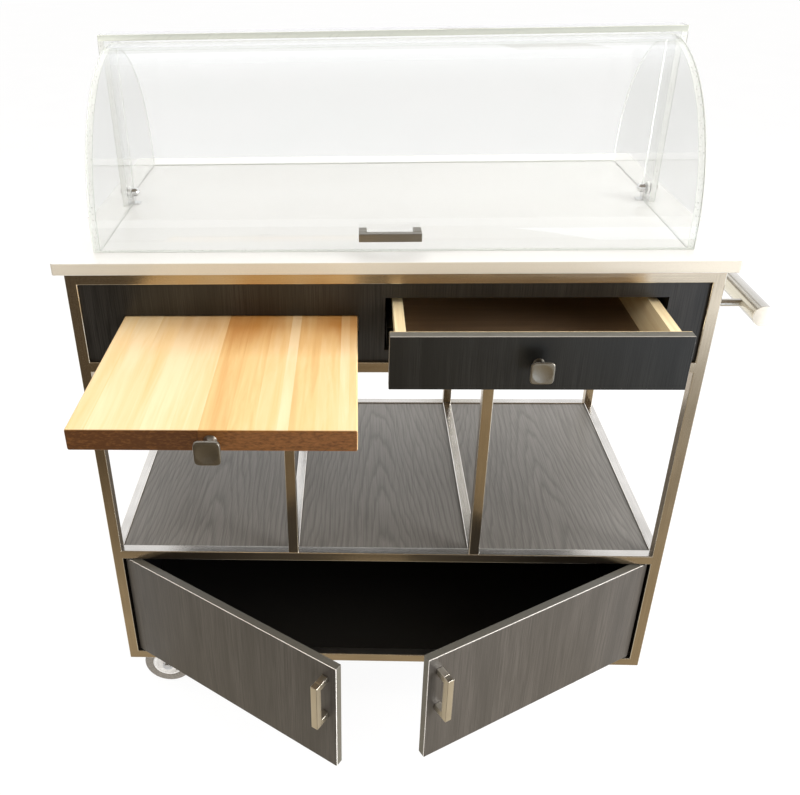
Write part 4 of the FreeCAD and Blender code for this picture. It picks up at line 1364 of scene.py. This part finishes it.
floor_paint = speckled("floor_paint", FLOOR_GREY, FLOOR_GREY_PALE, 3.0, (0.6, 0.8), 0.0)
floor_shader = floor_paint.node_tree.nodes["Principled BSDF"]
floor_shader.inputs["Specular IOR Level"].default_value = 0.0
floor_shader.inputs["Emission Color"].default_value = (1.0, 1.0, 1.0, 1.0)
floor_shader.inputs["Emission Strength"].default_value = FLOOR_GLOW
flat_sheet("floor", level_corners(-FLOOR_HALF, FLOOR_HALF, -FLOOR_HALF, FLOOR_HALF, 0.0), floor_paint)
print("floor", 2 * FLOOR_HALF, "m wide")

# %% Lamps
STEEP_AIM = 0.9
STRIP_X = 0.515
STRIP_HEIGHT = 0.19
STRIP_LENGTH = 0.74
STRIP_POWER = 0.52
STRIP_WARM = (1.0, 0.96, 0.84)


def soft_light(name, place, target, size, power):
    """A square area light that looks at a target."""
    lamp = bpy.data.lights.new(name, "AREA")
    lamp.size = size
    lamp.energy = power
    light = bpy.data.objects.new(name, lamp)
    bpy.context.scene.collection.objects.link(light)
    aim = np.array(target) - np.array(place)
    away = -aim / np.linalg.norm(aim)
    side = np.cross([0.0, 1.0, 0.0] if abs(away[2]) > STEEP_AIM else [0.0, 0.0, 1.0], away)
    side = side / np.linalg.norm(side)
    axes = np.column_stack([side, np.cross(away, side), away, place])
    light.matrix_world = Matrix(np.vstack([axes, [0, 0, 0, 1]]).tolist())
    print("lamp", name)
    return light


soft_light("right_window", (3.0, -1.3, 1.7), (0.0, -0.3, 0.6), 2.0, 105.0)
# Each fill has a name, a place, a target, a size in metres and a power in watts.
fills = (
    ("overhead", (0.3, 0.3, 3.2), (0.0, 0.0, 0.6), 3.4, 80.0),
    ("right_fill", (2.2, -1.6, 0.8), (0.2, -0.4, 0.4), 1.2, 30.0),
    ("left_high", (-2.0, -1.5, 2.2), (0.0, -0.3, 0.8), 1.2, 18.0),
    ("floor_bounce", (0.15, -1.35, 0.05), (0.0, -0.45, 0.30), 0.9, 6.0),
)
for fill in fills:
    hide_from(soft_light(*fill), "glossy", "transmission", "camera")

strip_z = counter_low.z - STRIP_HEIGHT / 2
strip_place = (STRIP_X, 0.0, strip_z)
to_bar = (bar_x, 0.0, strip_z)
strip = soft_light("bar_strip", strip_place, to_bar, STRIP_LENGTH, STRIP_POWER)
strip.data.shape = "RECTANGLE"
strip.data.size_y = STRIP_HEIGHT
strip.data.color = STRIP_WARM
hide_from(strip, "diffuse", "transmission", "camera")

# %% [markdown]
# ## Room light
# The room behind the cart is bright, and the ceiling and the room behind the camera are dim and
# warm, so the light changes with the height and along Y. A dim ceiling keeps the clear cover free of
# glare. What the camera sees directly, or through the cover, is plain white.

# %% World
FRONT_GLOW = (0.19, 0.14, 0.085)
BACK_GLOW = (1.15, 1.15, 1.17)
GLOW_FROM, GLOW_TO = -0.7, 0.5
BACKDROP = (1.0, 1.0, 1.0)
THROUGH_COVER = (1.0, 1.0, 1.0)
CEILING_DIMMING = 0.6
STEEP_RAY, LEVEL_RAY = 0.5, 0.25
world = bpy.data.worlds.new("studio")
bpy.context.scene.world = world
world.use_nodes = True
sky = world.node_tree
way = axes_of(sky, "Generated")
overhead = math_node(sky, "MULTIPLY", math_node(sky, "MULTIPLY", way["Z"], way["Z"]), CEILING_DIMMING)
ahead = math_node(sky, "SUBTRACT", way["Y"], overhead)
share = between(sky, ahead, GLOW_FROM, GLOW_TO, interpolation_type="SMOOTHSTEP")
ray = node(sky, "LightPath").outputs
glow = mixed(sky, share, FRONT_GLOW, BACK_GLOW)
is_level = between(sky, way["Z"], STEEP_RAY, LEVEL_RAY)
through = math_node(sky, "MULTIPLY", ray["Is Transmission Ray"], is_level)
glow = mixed(sky, through, glow, THROUGH_COVER)
glow = mixed(sky, ray["Is Camera Ray"], glow, BACKDROP)
sky.links.new(glow, sky.nodes["Background"].inputs["Color"])
bpy.context.scene.view_settings.view_transform = "Standard"
print("world", world.name, "with", len(sky.nodes), "nodes")

# %% [markdown]
# ## Cards for the metal
# Brushed metal has no colour of its own to speak of: it shows what stands round it. Photographers
# give it cards to show. A tan card lies on the floor in front, dim to the left and brighter to the
# right, and a white card lies far out to the right. A black card keeps the middle of the shelf rail
# dark, and a brown one hangs behind the push bar to draw a darker line along it. Only mirrored rays
# see the cards.

# %% Reflection cards
CARD_LEFT_X, CARD_RIGHT_X = -2.0, 2.0
CARD_FAR_Y, CARD_NEAR_Y = -1.1, -0.6
CARD_NEAR = (0.56, 0.48, 0.35)
CARD_TONES = (
    (-1.70, (0.08, 0.062, 0.040)), (-1.20, (0.11, 0.086, 0.056)), (-0.75, (0.16, 0.12, 0.070)),
    (-0.40, (0.22, 0.165, 0.098)), (0.00, (0.32, 0.25, 0.155)), (0.50, (0.46, 0.37, 0.235)),
    (1.00, (0.52, 0.50, 0.45)), (1.70, (1.00, 1.06, 1.10)),
)


def glossy_card(name, colour, *corners):
    """A level sheet that glows in one colour, reflects nothing and is seen by mirrored rays only."""
    paint, tree, shader = new_finish(name, {
        "Roughness": 1.0, "Base Color": (0.0, 0.0, 0.0, 1.0),
        "Emission Strength": 1.0, "Emission Color": (*colour, 1.0)})
    card = flat_sheet(name, level_corners(*corners), paint)
    hide_from(card, "camera", "diffuse", "transmission", "shadow")
    print("card", name)
    return tree, shader


tan_tree, tan_shader = glossy_card("tan_card", CARD_NEAR, -5.0, 5.0, -6.0, -0.30, 0.004)
card_place = axes_of(tan_tree, "Object")
to_right = between(tan_tree, card_place["X"], CARD_LEFT_X, CARD_RIGHT_X)
tone_at = [((x - CARD_LEFT_X) / (CARD_RIGHT_X - CARD_LEFT_X), tone) for x, tone in CARD_TONES]
far_tone = ramp(tan_tree, to_right, *tone_at)
to_cart = between(tan_tree, card_place["Y"], CARD_FAR_Y, CARD_NEAR_Y)
tan_tone = mixed(tan_tree, to_cart, far_tone, CARD_NEAR)
tan_tree.links.new(tan_tone, tan_shader.inputs["Emission Color"])
glossy_card("white_card", (1.9, 2.1, 2.4), 1.05, 3.6, -5.0, -1.95, 0.006)
glossy_card("black_card", (0.02, 0.018, 0.015), -0.34, 0.34, -0.95, -0.74, 0.006)
glossy_card("bar_card", (0.46, 0.42, 0.34), 0.45, 0.75, 1.0, 4.5, 2.2)

# %% [markdown]
# ## Camera
# The camera stands in front of the cart at head height and looks down at it. Its place, its turn and
# its lens were fitted to the straight edges of the counter, the posts and the rails.

# %% Camera
IMAGE_WIDTH = 800.0
FOCAL_PIXELS = 875.51
CENTRE_PIXEL_X = 313.64
SENSOR_WIDTH = 36.0
CLIP_START = 0.05
CAMERA_PLACE = (-0.0540, -1.5723, 1.4913)
PITCH_DOWN, YAW, ROLL = 30.028, 3.115, -1.428

camera_data = bpy.data.cameras.new("camera")
camera_data.sensor_width = SENSOR_WIDTH
camera_data.sensor_fit = "HORIZONTAL"
camera_data.lens = FOCAL_PIXELS / IMAGE_WIDTH * SENSOR_WIDTH
camera_data.shift_x = (IMAGE_WIDTH / 2 - CENTRE_PIXEL_X) / IMAGE_WIDTH
camera_data.clip_start = CLIP_START
camera = bpy.data.objects.new("camera", camera_data)
bpy.context.scene.collection.objects.link(camera)
look = Matrix.Identity(4)
for degrees, axis in ((YAW, "Z"), (90.0 - PITCH_DOWN, "X"), (ROLL, "Z")):
    look = look @ Matrix.Rotation(math.radians(degrees), 4, axis)
camera.matrix_world = Matrix.Translation(CAMERA_PLACE) @ look
bpy.context.scene.camera = camera
print("camera lens", round(camera_data.lens, 2), "mm, shift", round(camera_data.shift_x, 4))
